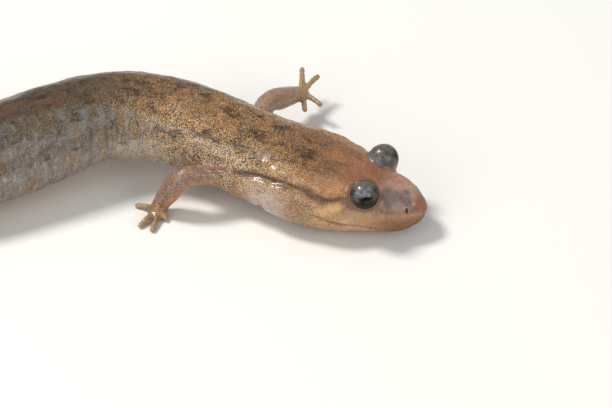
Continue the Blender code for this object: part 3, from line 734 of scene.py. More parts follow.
def limbSkin(limb, tree, finish):
    # the limb, palm and toes, melted into one closed skin
    palm = limbJoints(limb)[3]
    paths = [limbPath(limb)] + [toePath(limb, palm, *toe) for toe in limb["toes"]]
    item = pathObject(limb["name"] + "_paths", paths)
    modifier = item.modifiers.new("tubes", "NODES")
    modifier.node_group = tree
    values = {"Points round": limbForm["pointsRound"], "Flatness": limbForm["flat"], "Finish": finish}
    for socket in tree.interface.items_tree:
        if socket.name in values:
            modifier[socket.identifier] = values[socket.name]
    tubes = plainMesh(item, limb["name"] + "_tubes")
    shape = bmesh.new()
    shape.from_mesh(tubes.data)
    addBall(shape, palm, limb["palm"], *limbForm["palmPoints"])
    bmesh.ops.remove_doubles(shape, verts=shape.verts, dist=1e-4)
    bmesh.ops.recalc_face_normals(shape, faces=shape.faces)
    shape.to_mesh(tubes.data)
    shape.free()
    melt = tubes.modifiers.new("melt", "REMESH")
    melt.mode = "VOXEL"
    melt.voxel_size = limbForm["voxel"][limb["name"][:4]]
    melt.adaptivity = 0.0
    soften = tubes.modifiers.new("soften", "SMOOTH")
    soften.factor, soften.iterations = limbForm["softening"]
    return plainMesh(tubes, limb["name"])


# Work on finished meshes

def readRows(rows, key, width, kind=np.float32):
    values = np.empty(len(rows) * width, kind)
    rows.foreach_get(key, values)
    return values.reshape(-1, width)


def pointsOf(item):
    return readRows(item.data.vertices, "co", 3).astype(float)


def setPoints(item, points):
    item.data.vertices.foreach_set("co", np.asarray(points, np.float32).ravel())
    item.data.update()


def smoothed(points, edges, weight, rounds):
    # moves each point towards the middle of its neighbours, by its weight
    weight = np.where(weight > 0.005, weight, 0)[:, None]
    edges = edges[(weight > 0)[edges, 0].any(axis=1)]
    count = np.maximum(np.bincount(edges.ravel(), minlength=len(points)), 1)[:, None]
    a, b = edges.T
    for _ in range(rounds):
        total = np.stack([
            np.bincount(a, line[b], len(line)) + np.bincount(b, line[a], len(line)) for line in points.T
        ], axis=1)
        points = points + weight * (total / count - points)
    return points


def joined(item, operation, others):
    # one manifold Boolean with each of the others, which are then removed
    for other in others:
        modifier = item.modifiers.new("join", "BOOLEAN")
        modifier.operation = operation
        modifier.solver = "MANIFOLD"
        modifier.object = other
    name = item.name
    item.name = name + "_before"
    made = plainMesh(item, name)
    for other in others:
        bpy.data.objects.remove(other)
    return made


def addBall(shape, centre, radii, across, down):
    verts = bmesh.ops.create_uvsphere(shape, u_segments=across, v_segments=down, radius=1.0)["verts"]
    bmesh.ops.scale(shape, vec=radii, verts=verts)
    bmesh.ops.translate(shape, vec=centre, verts=verts)


def ball(name, centre, radii, across, down):
    shape = bmesh.new()
    addBall(shape, centre, radii, across, down)
    bmesh.ops.triangulate(shape, faces=shape.faces)
    mesh = bpy.data.meshes.new(name)
    shape.to_mesh(mesh)
    shape.free()
    return linked(name, mesh)


nostrilForm = {
    "at": (1.32, 1.60, 3.14), "radii": (0.13, 0.26, 0.25), "points": (24, 16),
    "soft": (0.7, 0.5),  # how much its edge is softened, and over what width
}


def cutPlaces(sign):
    # the middles of the ball that cuts the lid opening, and of the nostril, in the model
    out = eyeLook(sign) * eyeForm["opening"]["out"]
    return bend(eyeCentre(sign) + out), bend(np.array(nostrilForm["at"]) * (1, sign, 1))


def openings():
    # what is cut from the skin: the eye openings and the nostrils
    made = []
    opened = eyeForm["opening"]
    for sign in (1, -1):
        opening, nostril = cutPlaces(sign)
        made.append(ball("opening", opening, (opened["radius"],) * 3, *opened["points"]))
        made.append(ball("nostril", nostril, nostrilForm["radii"], *nostrilForm["points"]))
    return made


def rimWeight(points):
    # 1 on the lid edges and the nostril edges, falling off fast beside them
    weight = np.zeros(len(points))
    opened, (softening, softWidth) = eyeForm["opening"], nostrilForm["soft"]
    for sign in (1, -1):
        opening, nostril = cutPlaces(sign)
        fromEye = np.linalg.norm(points - bend(eyeCentre(sign)), axis=1)
        onCut = bell(np.linalg.norm(points - opening, axis=1) - opened["radius"], eyeForm["rimWidth"])
        off = np.linalg.norm((points - nostril) / nostrilForm["radii"], axis=1)
        weight = np.maximum(weight, onCut * within(fromEye, *eyeForm["rimReach"]))
        weight = np.maximum(weight, softening * bell(off - 1, softWidth))
    return weight


def rootWeight(points):
    # 1 where each limb leaves the body
    weight = np.zeros(len(points))
    for limb in limbForm["limbs"]:
        path, wide = limbPath(limb)
        k = int(np.argmax(bodyRatio(straighten(path)) > 1.0))
        distance = np.linalg.norm(points - path[k], axis=1) / (1.15 * wide[k])
        weight = np.maximum(weight, ease(distance, 1.9, 0.9))
    return weight


skinFolds = {
    "creases": (  # share of the limb, depth, width in shares
        (0.17, 0.05, 0.018), (0.41, 0.05, 0.016), (0.46, 0.08, 0.016), (0.51, 0.04, 0.014),
        (0.86, 0.05, 0.014), (0.90, 0.04, 0.012),
    ),
    # rings of skin round the toes: height, closeness, and the share of the toe where they start
    "toeRings": {"rise": 0.018, "turns": 46, "from": 0.35},
    "rootSoftening": (0.6, 36), "rimSoftening": (0.5, 8),  # strength and rounds
    "limbNear": 14.0,  # no skin further from a limb's middle belongs to it
    "toeSkin": 0.12, "toeStart": 0.25,  # distance off a toe's skin, and where the toe leaves the palm
}


def downPath(points, path, wide):
    # how far points are off a path's skin, and how far down the path as a share
    far = np.linalg.norm(points[:, None] - path[None], axis=2) - wide[None]
    return far.min(axis=1), far.argmin(axis=1) / (len(path) - 1)


def limbRun(points):
    # for each point: how far down its nearest limb, how far off that, and how far down a toe
    share, off, toeward = np.zeros(len(points)), np.full(len(points), 99.0), np.zeros(len(points))
    for limb in limbForm["limbs"]:
        path, wide = limbPath(limb)
        near = np.flatnonzero(np.linalg.norm(points - path.mean(axis=0), axis=1) < skinFolds["limbNear"])
        some = points[near]
        closest, down = downPath(some, path, wide)
        better = closest < off[near]
        off[near[better]] = closest[better]
        share[near[better]] = down[better]
        for toe in limb["toes"]:
            closest, down = downPath(some, *toePath(limb, limbJoints(limb)[3], *toe))
            on = (closest < skinFolds["toeSkin"]) & (down > skinFolds["toeStart"])
            toeward[near[on]] = np.maximum(toeward[near[on]], down[on])
            better = on & (closest < off[near])
            off[near[better]] = closest[better]
            share[near[better]] = 1.0
    return share, off, toeward


def finishSkin(item):
    # fillets at the limb roots, soft lid edges, folds on the limbs, and the flats it rests on
    points, edges = pointsOf(item), readRows(item.data.edges, "vertices", 2, np.int32)
    for weightOf, key in ((rootWeight, "rootSoftening"), (rimWeight, "rimSoftening")):
        strength, rounds = skinFolds[key]
        points = smoothed(points, edges, strength * weightOf(points), rounds)
    setPoints(item, points)
    normals = readRows(item.data.vertex_normals, "vector", 3).astype(float)
    share, off, toeward = limbRun(points)
    onLimb = ease(bodyRatio(straighten(points)), 1.02, 1.2) * (off < 0.6) * (points[:, 2] < 8)
    rings = skinFolds["toeRings"]
    lift = rings["rise"] * np.cos(toeward * rings["turns"]) * (toeward > rings["from"])
    lift = 0.022 * ripple(points, 0.9, 33) + lift
    wave = 0.02 * ripple(points, 1.2, 31)
    for place, depth, width in skinFolds["creases"]:
        lift -= depth * bell(share - place - wave, width) * (toeward < 0.2)
    points = points + (lift * onLimb)[:, None] * normals
    points[:, 2] = np.maximum(points[:, 2], 0.0)
    setPoints(item, points)
    return points


# Where the colours of the skin go. Each mark is a place on the body, its reach and its strength.
coatMarks = {
    "dark": (
        ((32.4, -0.2, 8.6), (0.55, 0.5, 1.0), 0.9), ((27.3, -0.1, 8.6), (0.7, 0.45, 1.0), 0.8),
        ((26.0, 0.1, 8.5), (0.8, 0.4, 1.0), 0.8), ((23.0, 1.5, 8.1), (0.9, 0.6, 1.0), 0.8),
        ((23.8, -0.9, 8.4), (0.4, 0.4, 1.0), 0.7), ((30.9, 0.8, 8.7), (0.5, 0.4, 1.0), 0.7),
        ((15.6, -2.7, 6.5), (1.2, 0.5, 0.4), 0.8), ((21.6, -3.5, 6.2), (1.2, 0.8, 0.5), 1.0),
        ((17.6, -3.9, 5.5), (1.3, 0.8, 0.4), 0.75), ((14.6, -4.0, 4.8), (1.0, 0.7, 0.35), 0.6),
        ((17.8, -2.6, 6.9), (1.4, 0.35, 0.6), 0.8), ((14.2, -3.2, 6.0), (0.9, 0.5, 0.35), 0.7),
        ((15.3, -1.1, 7.1), (1.2, 0.9, 1.2), 0.75), ((17.4, -0.4, 7.4), (1.0, 0.35, 1.0), 0.7),
        ((10.5, -1.0, 6.3), (0.9, 0.55, 1.0), 0.9), ((7.5, -0.4, 5.7), (0.5, 0.3, 1.0), 0.8),
        ((6.6, -1.5, 5.5), (0.5, 0.4, 0.8), 0.6), ((12.2, -0.9, 6.6), (0.6, 0.4, 1.0), 0.5),
        ((19.5, -3.1, 6.8), (0.9, 0.8, 0.6), 0.6), ((13.2, 1.4, 6.6), (0.8, 0.5, 1.0), 0.6),
        ((20.6, 0.6, 7.9), (0.7, 0.5, 1.0), 0.6), ((36.2, 0.9, 8.5), (0.8, 0.5, 1.0), 0.7),
        ((36.8, -1.4, 8.3), (0.6, 0.5, 1.0), 0.7), ((40.2, -0.3, 8.3), (0.8, 0.6, 1.0), 0.8),
        ((43.6, 1.0, 8.0), (0.9, 0.5, 1.0), 0.7), ((46.9, -0.8, 7.7), (0.8, 0.6, 1.0), 0.7),
    ),
    # blue-grey marks on the flanks: partly the skin's own colour, partly a painted reflection of the sky on
    # the folds between the side grooves
    "blue": (
        ((34.1, -2.4, 7.9), (0.45, 0.8, 1.3), 0.9), ((32.2, -2.6, 7.8), (0.45, 0.9, 1.3), 1.0),
        ((30.2, -2.9, 7.6), (0.6, 0.9, 1.3), 0.8), ((28.9, -2.8, 7.7), (0.5, 0.9, 1.2), 0.7),
        ((26.6, -3.2, 7.4), (0.7, 0.8, 1.3), 0.7), ((16.6, -3.1, 6.4), (1.3, 0.8, 0.8), 0.9),
        ((13.9, -3.1, 6.1), (1.0, 0.7, 0.7), 0.5), ((24.0, -3.5, 6.8), (0.8, 0.8, 1.4), 0.7),
    ),
    "gold": (
        ((6.85, -3.9, 3.85), (0.85, 1.0, 0.6), 1.0), ((7.6, -4.2, 3.5), (0.95, 1.0, 0.6), 0.9),
        ((6.85, 3.9, 3.85), (0.85, 1.0, 0.6), 1.0), ((7.6, 4.2, 3.5), (0.95, 1.0, 0.6), 0.9),
        ((3.6, -1.75, 5.5), (0.28, 0.35, 0.4), 1.0), ((0.85, -0.86, 3.38), (0.16, 0.2, 0.2), 1.0),
        ((5.9, -3.9, 2.6), (0.9, 0.8, 0.4), 0.6), ((22.6, -3.7, 5.2), (1.3, 1.0, 1.0), 0.5),
    ),
    "snout": (
        ((3.15, -1.4, 4.2), (0.75, 1.1, 0.75), 1.0), ((2.3, -1.3, 3.9), (0.95, 1.1, 0.8), 1.0),
        ((1.5, -1.1, 3.6), (0.6, 0.8, 0.6), 0.95), ((2.7, 1.6, 3.7), (1.2, 0.8, 0.8), 0.6),
        ((1.95, -1.8, 3.55), (0.6, 0.5, 0.45), 0.9), ((2.8, -2.1, 3.75), (0.5, 0.5, 0.45), 0.9),
        ((1.7, -0.4, 4.0), (0.5, 0.55, 0.6), 0.8),
    ),
    # the skin fold over each arm, as distance and height, with its width
    "fold": (
        (15.6, 4.60), (16.9, 4.72), (18.3, 4.62), (19.1, 4.62), (19.8, 5.05), (20.4, 5.42), (21.4, 5.75),
    ),
    "foldWidth": 0.20,
    # how far down the sides the colour of the back reaches, in degrees, at distances from the snout
    "backEdge": (
        (0, 70), (5, 66), (8, 66), (12, 58), (14, 46), (16, 43), (18, 45), (20.5, 48), (23, 50), (25.5, 44),
        (28, 37), (31, 31), (34, 22), (38, 16), (44, 24), (50, 36), (60, 50), (110, 62),
    ),
    "bellyEdge": ((0, 128), (8, 122), (14, 118), (24, 128), (50, 126), (60, 132), (110, 140)),
    # how strong the fine speckle is
    "grain": (
        (0, 0.3), (4, 0.35), (6.5, 0.5), (9, 0.8), (12, 1.2), (16, 1.6), (22, 1.4), (27, 0.8), (32, 0.45),
        (40, 0.35), (110, 0.35),
    ),
}


def markSum(places, marks):
    total = np.zeros(len(places))
    for at, reach, strength in marks:
        total = np.maximum(total, strength * np.exp(-(((places - at) / reach) ** 2).sum(axis=1)))
    return total


def setAttribute(item, name, *columns):
    kind, key = ("FLOAT", "value") if len(columns) == 1 else ("FLOAT_VECTOR", "vector")
    values = np.stack(columns, axis=-1).astype(np.float32).ravel()
    item.data.attributes.new(name, kind, "POINT").data.foreach_set(key, values)


def lidZones(places):
    # where the lids are: the thin skin over the ball, the edge above the eye, the fold below it and
    # the painted shade on the skin all round
    zones = np.zeros((4, len(places)))
    over = eyeForm["lidOver"]
    for sign, off, distance, angle in roundEyes(places):
        ahead, out, up = off.T
        near = ease(distance, over + 0.34, over + 0.10)
        rim = bell(angle - eyeForm["openAngle"], 10) * near
        inner = ease(out * sign, 0.45, 0.0) * (1 if sign > 0 else ease(ahead, 0.5, 0.0))
        zones = np.maximum(zones, [
            near * ease(angle, 73, 79) * ease(up, -0.3, 0.2) * inner,
            rim * ease(up, -0.1, 0.6),
            rim * ease(up, 0.1, -0.5),
            # painted shade on the skin round each eye
            ease(distance, over + 0.50, over) * ease(angle, 120, 90),
        ])
    return zones


# Where each zone of the coat lies: the values of a measure between which it rises, and falls again.
# Angles are those of girthAngle, and shares run down a limb.
coatZones = {
    "cheek": {"along": (5.5, 6.4, 14.0, 16.5), "angle": (40, 60)},
    "band": {"along": (5.5, 6.4, 11.5, 14.0), "angle": (24, 38), "overGroove": (0.05, 0.35, 0.9, 1.6)},
    "below": {"along": (6.5, 9.0), "overGroove": (0.05, -0.25)},
    "mouth": {"along": (8.9, 8.3)},
    "lip": {"overMouth": (0.05, 0.3, 1.1, 1.9)},
    "jaw": {"overMouth": (0.05, -0.05)},
    "face": {"along": (10.0, 7.0), "angle": (62, 86)},
    "rust": {"along": (5.4, 1.8), "angle": (60, 96)},
    "lilac": {"along": (9.8, 12.0, 13.4, 15.5), "angle": (60, 82)},
    "plum": {"along": (15.4, 16.4, 20.4, 21.6), "angle": (60, 70)},
    "lowFlank": {"along": (16.5, 19.0, 22.0, 35.0), "angle": (72, 100)},
    "side": {"angle": (15, 45)},
    "trunk": {"along": (6, 9)},
    "hand": {"share": (0.76, 0.92)},
    "toe": {"toeward": (0.2, 0.5)},
}


def mapCoat(item, points):
    # stores where each colour of the coat goes, for the skin's material
    places = straighten(points)
    along, side, high = places.T
    angle = girthAngle(places)
    share, off, toeward = limbRun(points)
    overGroove, overMouth = (high - through(headRelief[key], along) for key in ("cheekGroove", "mouthLine"))
    measures = {
        "along": along, "angle": angle, "overGroove": overGroove, "overMouth": overMouth,
        "share": share, "toeward": toeward,
    }

    def zone(name):
        total = 1.0
        for key, reach in coatZones[name].items():
            total = total * (within if len(reach) > 2 else ease)(measures[key], *reach)
        return total

    limb = ease(bodyRatio(places), 1.02, 1.22) * (off < 0.8)
    body, cheek, lilac, mouth = 1 - limb, zone("cheek"), zone("lilac"), zone("mouth") * (along > 0.2)
    lidTop, lidEdge, lowerLid, socket = lidZones(places)
    backEdge, bellyEdge, grain, fold = (
        through(coatMarks[key], along) for key in ("backEdge", "bellyEdge", "grain", "fold")
    )
    belly = ease(angle, bellyEdge - 12, bellyEdge + 18)
    plum = zone("plum") * bell(high - fold - 0.12 * ripple(places, 1.3, 43), coatMarks["foldWidth"])
    grain = grain * (1 - 0.75 * belly) * (1 - 0.3 * lilac) * (0.75 + 0.35 * zone("side"))
    dark, blue, gold, snout = (markSum(places, coatMarks[key]) for key in ("dark", "blue", "gold", "snout"))
    for name, columns in {
        "coatZones": (ease(angle, backEdge + 14, backEdge - 10), belly, limb),
        # the first of coatHead and of coatFace carry the painted shade in the cheek groove and the mouth
        # crease
        "coatHead": (cheek * bell(overGroove, 0.23), zone("band"), cheek * zone("below")),
        "coatFace": (mouth * bell(overMouth, 0.085), mouth * zone("jaw"), zone("face")),
        "coatLids": (lidTop, lidEdge, lowerLid),
        "coatSpots": (dark, blue, gold),
        "coatLip": (mouth * zone("lip"), zone("rust"), lilac * body),
        # the last of coatFlank is the painted shade round the eyes
        "coatFlank": (plum * body, zone("lowFlank"), socket),
        "coatToes": (toeward, zone("hand"), zone("trunk")),
        "coatPlace": (along, side, high),
        "coatSnout": (snout,),
        "coatGrain": (grain * body + 0.7 * limb * (1 - zone("toe")),),
    }.items():
        setAttribute(item, name, *columns)


# Materials

def rgb(red, green, blue):
    # a colour as seen on a screen, 0 to 255, for a shader's socket
    shares = (((c / 255 + 0.055) / 1.055) ** 2.4 if c > 10 else c / 3294.6 for c in (red, green, blue))
    return (*shares, 1.0)


class nodeBench:
    # short ways to add and join a material's nodes, with a finish's colours to be had by name

    def __init__(self, name, finish):
        self.material = bpy.data.materials.new(name)
        self.material.use_nodes = True
        self.tree = self.material.node_tree
        self.paint = {key: rgb(*value) for key, value in finish.items() if isinstance(value, tuple)}

    def fill(self, node, values):
        for key, value in values.items():
            if isinstance(value, bpy.types.NodeSocket):
                self.tree.links.new(value, node.inputs[key])
            elif value is not None:
                node.inputs[key].default_value = self.paint.get(value, value)
        return node

    def finished(self, values):
        self.fill(self.tree.nodes["Principled BSDF"], values)
        return self.material

    def add(self, kind, values, output=0, **settings):
        node = self.tree.nodes.new(kind)
        for key, value in settings.items():
            setattr(node, key, value)
        return self.fill(node, values).outputs[output]

    def attribute(self, name, output="Fac"):
        return self.add("ShaderNodeAttribute", {}, output, attribute_name=name)

    def three(self, name):
        split = self.add("ShaderNodeSeparateXYZ", {0: self.attribute(name, "Vector")}).node
        return split.outputs[0], split.outputs[1], split.outputs[2]

    def maths(self, operation, a, b=None):
        return self.add("ShaderNodeMath", {0: a, 1: b}, operation=operation)

    def times(self, a, b):
        return self.maths("MULTIPLY", a, b)

    def plus(self, a, b):
        return self.maths("ADD", a, b)

    def vector(self, operation, a, b):
        return self.add("ShaderNodeVectorMath", {0: a, 1: b}, operation=operation)

    def between(self, value, low, high, start=0.0, end=1.0):
        # rises softly from start to end as the value goes from low to high
        values = {0: value, 1: low, 2: high, 3: start, 4: end}
        return self.add("ShaderNodeMapRange", values, interpolation_type="SMOOTHSTEP")

    def mix(self, factor, a, b, blend="MIX"):
        values = {0: factor, 6: a, 7: b}
        return self.add("ShaderNodeMix", values, 2, data_type="RGBA", blend_type=blend, clamp_factor=True)

    def layered(self, colour, *layers):
        # lays each paint over the ones before, by its amount
        for paint, amount, *blend in layers:
            colour = self.mix(amount, colour, paint, *blend)
        return colour

    def noise(self, vector, scale, detail, roughness=0.5, offset=0.0):
        if offset:
            vector = self.vector("ADD", vector, (offset, offset * 0.7, offset * 1.3))
        values = {"Vector": vector, "Scale": scale, "Detail": detail, "Roughness": roughness}
        return self.add("ShaderNodeTexNoise", values, "Fac")


skinFinish = {
    "backWarm": (136, 86, 46), "backBrown": (98, 66, 42), "backDark": (48, 34, 26),
    # the multiply behind the shoulders is painted shade on the back and tail
    "rearPaintedShade": (144, 152, 150),  # what the coat is multiplied by behind the shoulders
    "napeShade": (192, 172, 154),  # and on the back of the head
    "backShade": (210, 194, 178),  # and all down the back
    "cloud": (122, 112, 108),  # and in the dark clouds
    "flankBlue": (120, 120, 126), "flankTan": (132, 106, 84), "flankLow": (192, 192, 182),
    "belly": (196, 168, 138), "bellyWarm": (186, 124, 82),
    "crown": (138, 86, 58), "jaw": (188, 148, 102), "cheek": (146, 111, 80), "face": (156, 120, 102),
    "faceWarm": (150, 102, 72), "lip": (166, 130, 104), "lipGold": (186, 134, 76), "rust": (98, 54, 20),
    "lilac": (206, 190, 184), "plum": (108, 64, 74),
    # line is painted shade, laid in the cheek groove and the mouth crease
    "band": (186, 136, 98), "line": (50, 32, 24), "gold": (214, 172, 112), "snout": (92, 80, 84),
    "snoutPale": (150, 124, 112), "snoutTop": (172, 136, 118),
    "socket": (196, 180, 172),  # painted shade: what the coat is multiplied by round the eyes
    "lid": (52, 58, 70), "lidPale": (96, 112, 114), "lidDark": (40, 36, 34), "lidLow": (122, 84, 64),
    # blue: partly the flanks' own blue-grey, partly a painted reflection of the sky on the folds
    "blue": (118, 124, 134),
    "limb": (120, 92, 88), "limbPale": (148, 118, 98), "limbLow": (172, 116, 72),
    "palm": (118, 88, 50), "toe": (156, 130, 96),
    "fleck": (216, 172, 110), "speck": (28, 22, 20),
    "specks": 0.66, "flecks": 0.48,  # how strong the black and gold speckle is
    "roughness": 0.46, "coat": 0.38, "coatRoughness": 0.14,
    "grainBump": 0.000018, "subsurface": 0.12, "subsurfaceScale": 0.0005,  # in metres
}


def skinMaterial():
    bench = nodeBench("wetSpeckledSkin", skinFinish)
    mixed, between, noise, times, plus = bench.mix, bench.between, bench.noise, bench.times, bench.plus
    place = bench.attribute("coatPlace", "Vector")
    mm = bench.vector("MULTIPLY", bench.add("ShaderNodeTexCoord", {}, "Object"), (1000, 1000, 1000))
    back, belly, limb = bench.three("coatZones")
    # groove and crease: where the painted shade of the cheek groove and the mouth crease goes
    groove, band, below = bench.three("coatHead")
    crease, jaw, face = bench.three("coatFace")
    lidTop, lidEdge, lowerLid = bench.three("coatLids")
    dark, blue, gold = bench.three("coatSpots")
    lip, rust, lilac = bench.three("coatLip")
    plum, lowFlank, socket = bench.three("coatFlank")
    toeward, hand, trunk = bench.three("coatToes")
    along, side, high = bench.three("coatPlace")
    grain = bench.attribute("coatGrain")

    wide = noise(mm, 0.42, 3)  # patches a few millimetres across
    patch = noise(mm, 1.1, 4, 0.6, 11)
    fine = noise(mm, 3.4, 3, 0.6, 23)
    ragged = plus(patch, -0.5)

    def uneven(zone, strength):
        # the zone with a ragged edge
        return plus(zone, times(ragged, strength))

    # the back: warm brown, with darker clouds and blotches
    blotches = between(uneven(dark, 1.5), 0.30, 0.75)
    brown = bench.layered(
        mixed(between(wide, 0.38, 0.62), "backWarm", "backBrown"),
        ("backDark", between(patch, 0.54, 0.72, 0, 0.5)),
        ("backDark", times(blotches, 0.85)),
    )
    crown = mixed(between(patch, 0.42, 0.72), "crown", "backBrown")
    brown = mixed(between(along, 9, 16), mixed(trunk, crown, brown), "backShade", "MULTIPLY")

    # the flanks: grey-blue and tan in upright streaks that follow the grooves
    stretch = bench.vector("MULTIPLY", place, (1.1, 0.35, 0.35))
    mottle = noise(stretch, 2.4, 3, 0.6, 71)
    lower = between(plus(uneven(lowFlank, 1.4), times(plus(fine, -0.5), 1.6)), 0, 0.9, 0, 0.75)
    flank = bench.layered(
        mixed(between(noise(stretch, 0.9, 4, 0.6, 5), 0.36, 0.62), "flankBlue", "flankTan"),
        ("backDark", between(fine, 0.52, 0.66, 0, 0.65)),
        ("flankLow", between(mottle, 0.54, 0.66, 0, 0.45)),
        ("backDark", between(mottle, 0.44, 0.34, 0, 0.55)),
        ("backDark", times(blotches, 0.75)),
        # the blue-grey marks, partly a painted reflection of the sky on the folds
        ("blue", between(plus(blue, ragged), 0.30, 0.8, 0, 0.85)),
        ("flankLow", lower),
        ("flankTan", times(lower, between(mottle, 0.46, 0.38))),
    )

    # patches of two paints: the belly, the face, the lip, the jaw and the thin skin over the eyeball
    under = mixed(between(patch, 0.42, 0.66), "belly", "bellyWarm")
    facePaint = mixed(between(fine, 0.44, 0.62), "face", "faceWarm")
    lipPaint = mixed(between(fine, 0.46, 0.60), "lip", "lipGold")
    jawPaint = mixed(between(fine, 0.4, 0.65), "jaw", "cheek")
    lidPaint = mixed(between(fine, 0.50, 0.70, 0, 0.6), "lid", "lidPale")
    lidPaint = mixed(between(patch, 0.52, 0.66), lidPaint, "lidDark")

    # the limbs: purple-brown above and orange-tan below, with paler toes
    upright = bench.add("ShaderNodeSeparateXYZ", {0: bench.add("ShaderNodeNewGeometry", {}, "Normal")}, "Z")
    farSide = between(side, 4, 6)
    paler = bench.maths("MAXIMUM", between(toeward, 0.25, 0.6), times(hand, farSide))
    limbPaint = bench.layered(
        mixed(between(patch, 0.46, 0.68), "limb", "backBrown"),
        ("limbPale", times(farSide, 0.8)),
        ("limbLow", between(upright, 0.1, -0.6)),
        ("palm", times(hand, 0.8)),
        ("toe", times(paler, 0.75)),
    )

    # fine speckle: black and gold, a tenth of a millimetre or so each, blacker and golder in clouds
    stipple = plus(noise(mm, 15, 0, 0.5, 41), times(plus(noise(mm, 1.7, 2, 0.5, 53), -0.5), 0.22))
    dusty = times(between(noise(mm, 8, 2, 0.6, 37), 0.52, 0.68), between(face, 1, 0, 0.08, 0.22))
    drawnOut = bench.vector("MULTIPLY", place, (0.5, 1.15, 1.15))
    clouds = between(plus(noise(drawnOut, 0.95, 4, 0.68, 61), times(dark, 0.15)), 0.53, 0.68)
    clouds = times(times(clouds, between(along, 6.5, 11, 0.2, 0.9)), between(high, 3, 5))
    # pale blue-grey bars behind the shoulders: partly the skin's own colour, partly a painted reflection of
    # the sky on the folds
    paleBarsAndReflection = times(between(uneven(blue, 0.9), 0.30, 1, 0, 0.36), between(along, 23, 27))

    # where the painted shade behind the shoulders falls: the back and upper flanks, and all of the tail
    rear = bench.maths("MAXIMUM", between(high, 4.2, 7.4, 0.15, 1), between(along, 44, 56))
    nape = times(between(along, 8, 10), between(along, 15, 12))
    snoutTop = times(between(high, 3.2, 3.9), between(along, 4.4, 2.8))
    snoutPatch = uneven(bench.attribute("coatSnout"), 0.35)
    colour = bench.layered(
        # the trunk, with painted shade towards the rear, and darker on the nape
        mixed(between(uneven(back, 1.3), 0.15, 0.85), flank, brown),
        (under, between(uneven(belly, 0.5), 0.45, 0.9)),
        ("rearPaintedShade", times(between(along, 18, 30), rear), "MULTIPLY"),
        ("napeShade", times(nape, between(high, 4.9, 5.9)), "MULTIPLY"),
        # the head: face, cheek, lip, gold marks, jaw and snout
        (facePaint, times(face, 0.9)),
        ("cheek", times(below, 0.85)),
        ("lilac", times(lilac, 0.7)),
        (lipPaint, times(lip, 0.85)),
        ("band", times(band, 0.5)),
        ("gold", between(uneven(gold, 0.7), 0.20, 0.85, 0, 0.8)),
        (jawPaint, times(jaw, 0.8)),
        ("snoutTop", times(snoutTop, between(patch, 0.36, 0.60, 0.25, 0.9))),
        ("rust", times(rust, 0.9)),
        ("snoutPale", between(snoutPatch, 0.10, 0.50, 0, 0.7)),
        ("snout", between(snoutPatch, 0.28, 0.80, 0, 0.9)),
        # the fold behind the throat, the painted shade round the eyes, and the lids
        ("plum", between(uneven(plum, 0.5), 0.35, 0.9, 0, 0.85)),
        ("socket", socket, "MULTIPLY"),
        ("lidLow", times(lowerLid, 0.7)),
        (lidPaint, times(lidTop, 0.92)),
        ("lidDark", times(lidEdge, 0.8)),
        (limbPaint, limb),
        # the speckle, then the clouds, the pale bars with their painted reflection, the fold once more, and
        # painted shade in the cheek groove and the mouth crease
        ("speck", times(between(stipple, 0.475, 0.44, 0, skinFinish["specks"]), grain)),
        ("fleck", times(between(stipple, 0.52, 0.56, 0, skinFinish["flecks"]), grain)),
        ("speck", dusty),
        ("cloud", times(clouds, between(limb, 1, 0)), "MULTIPLY"),
        ("blue", paleBarsAndReflection),
        ("plum", between(uneven(plum, 0.4), 0.25, 0.85, 0, 0.6)),
        # painted shade in the cheek groove and the mouth crease
        ("line", times(groove, 0.85)),
        ("line", times(crease, 0.28)),
    )

    granules = bench.add("ShaderNodeTexVoronoi", {"Vector": mm, "Scale": 5}, "Distance")
    height = plus(times(granules, -1), times(fine, 1.4))
    bump = {"Height": height, "Strength": 0.8, "Distance": skinFinish["grainBump"]}
    rough = skinFinish["roughness"]
    return bench.finished({
        "Base Color": colour,
        "Roughness": between(fine, 0.3, 0.7, rough - 0.1, rough + 0.12),
        "Normal": bench.add("ShaderNodeBump", bump, "Normal"),
        "Coat Weight": skinFinish["coat"],
        "Coat Roughness": skinFinish["coatRoughness"],
        "Subsurface Weight": skinFinish["subsurface"],
        "Subsurface Radius": (1.0, 0.45, 0.3),
        "Subsurface Scale": skinFinish["subsurfaceScale"],
        "IOR": 1.4,
    })


eyeFinish = {
    # the pale grey-lilac near the top of the eye is a painted reflection of the sky
    "top": (76, 80, 84), "skyReflection": (122, 118, 124), "low": (12, 12, 7), "olive": (62, 66, 44),
    # edge and the brown above it: painted shade round the rim of the ball, where the lids shade it
    "edgeShadeTop": (92, 84, 68),
    "gold": (158, 128, 56), "rim": (62, 78, 96), "pupil": (1, 1, 2), "edge": (12, 11, 9),
    "goldLines": 0.018, "pupilTilt": 0.14,
}


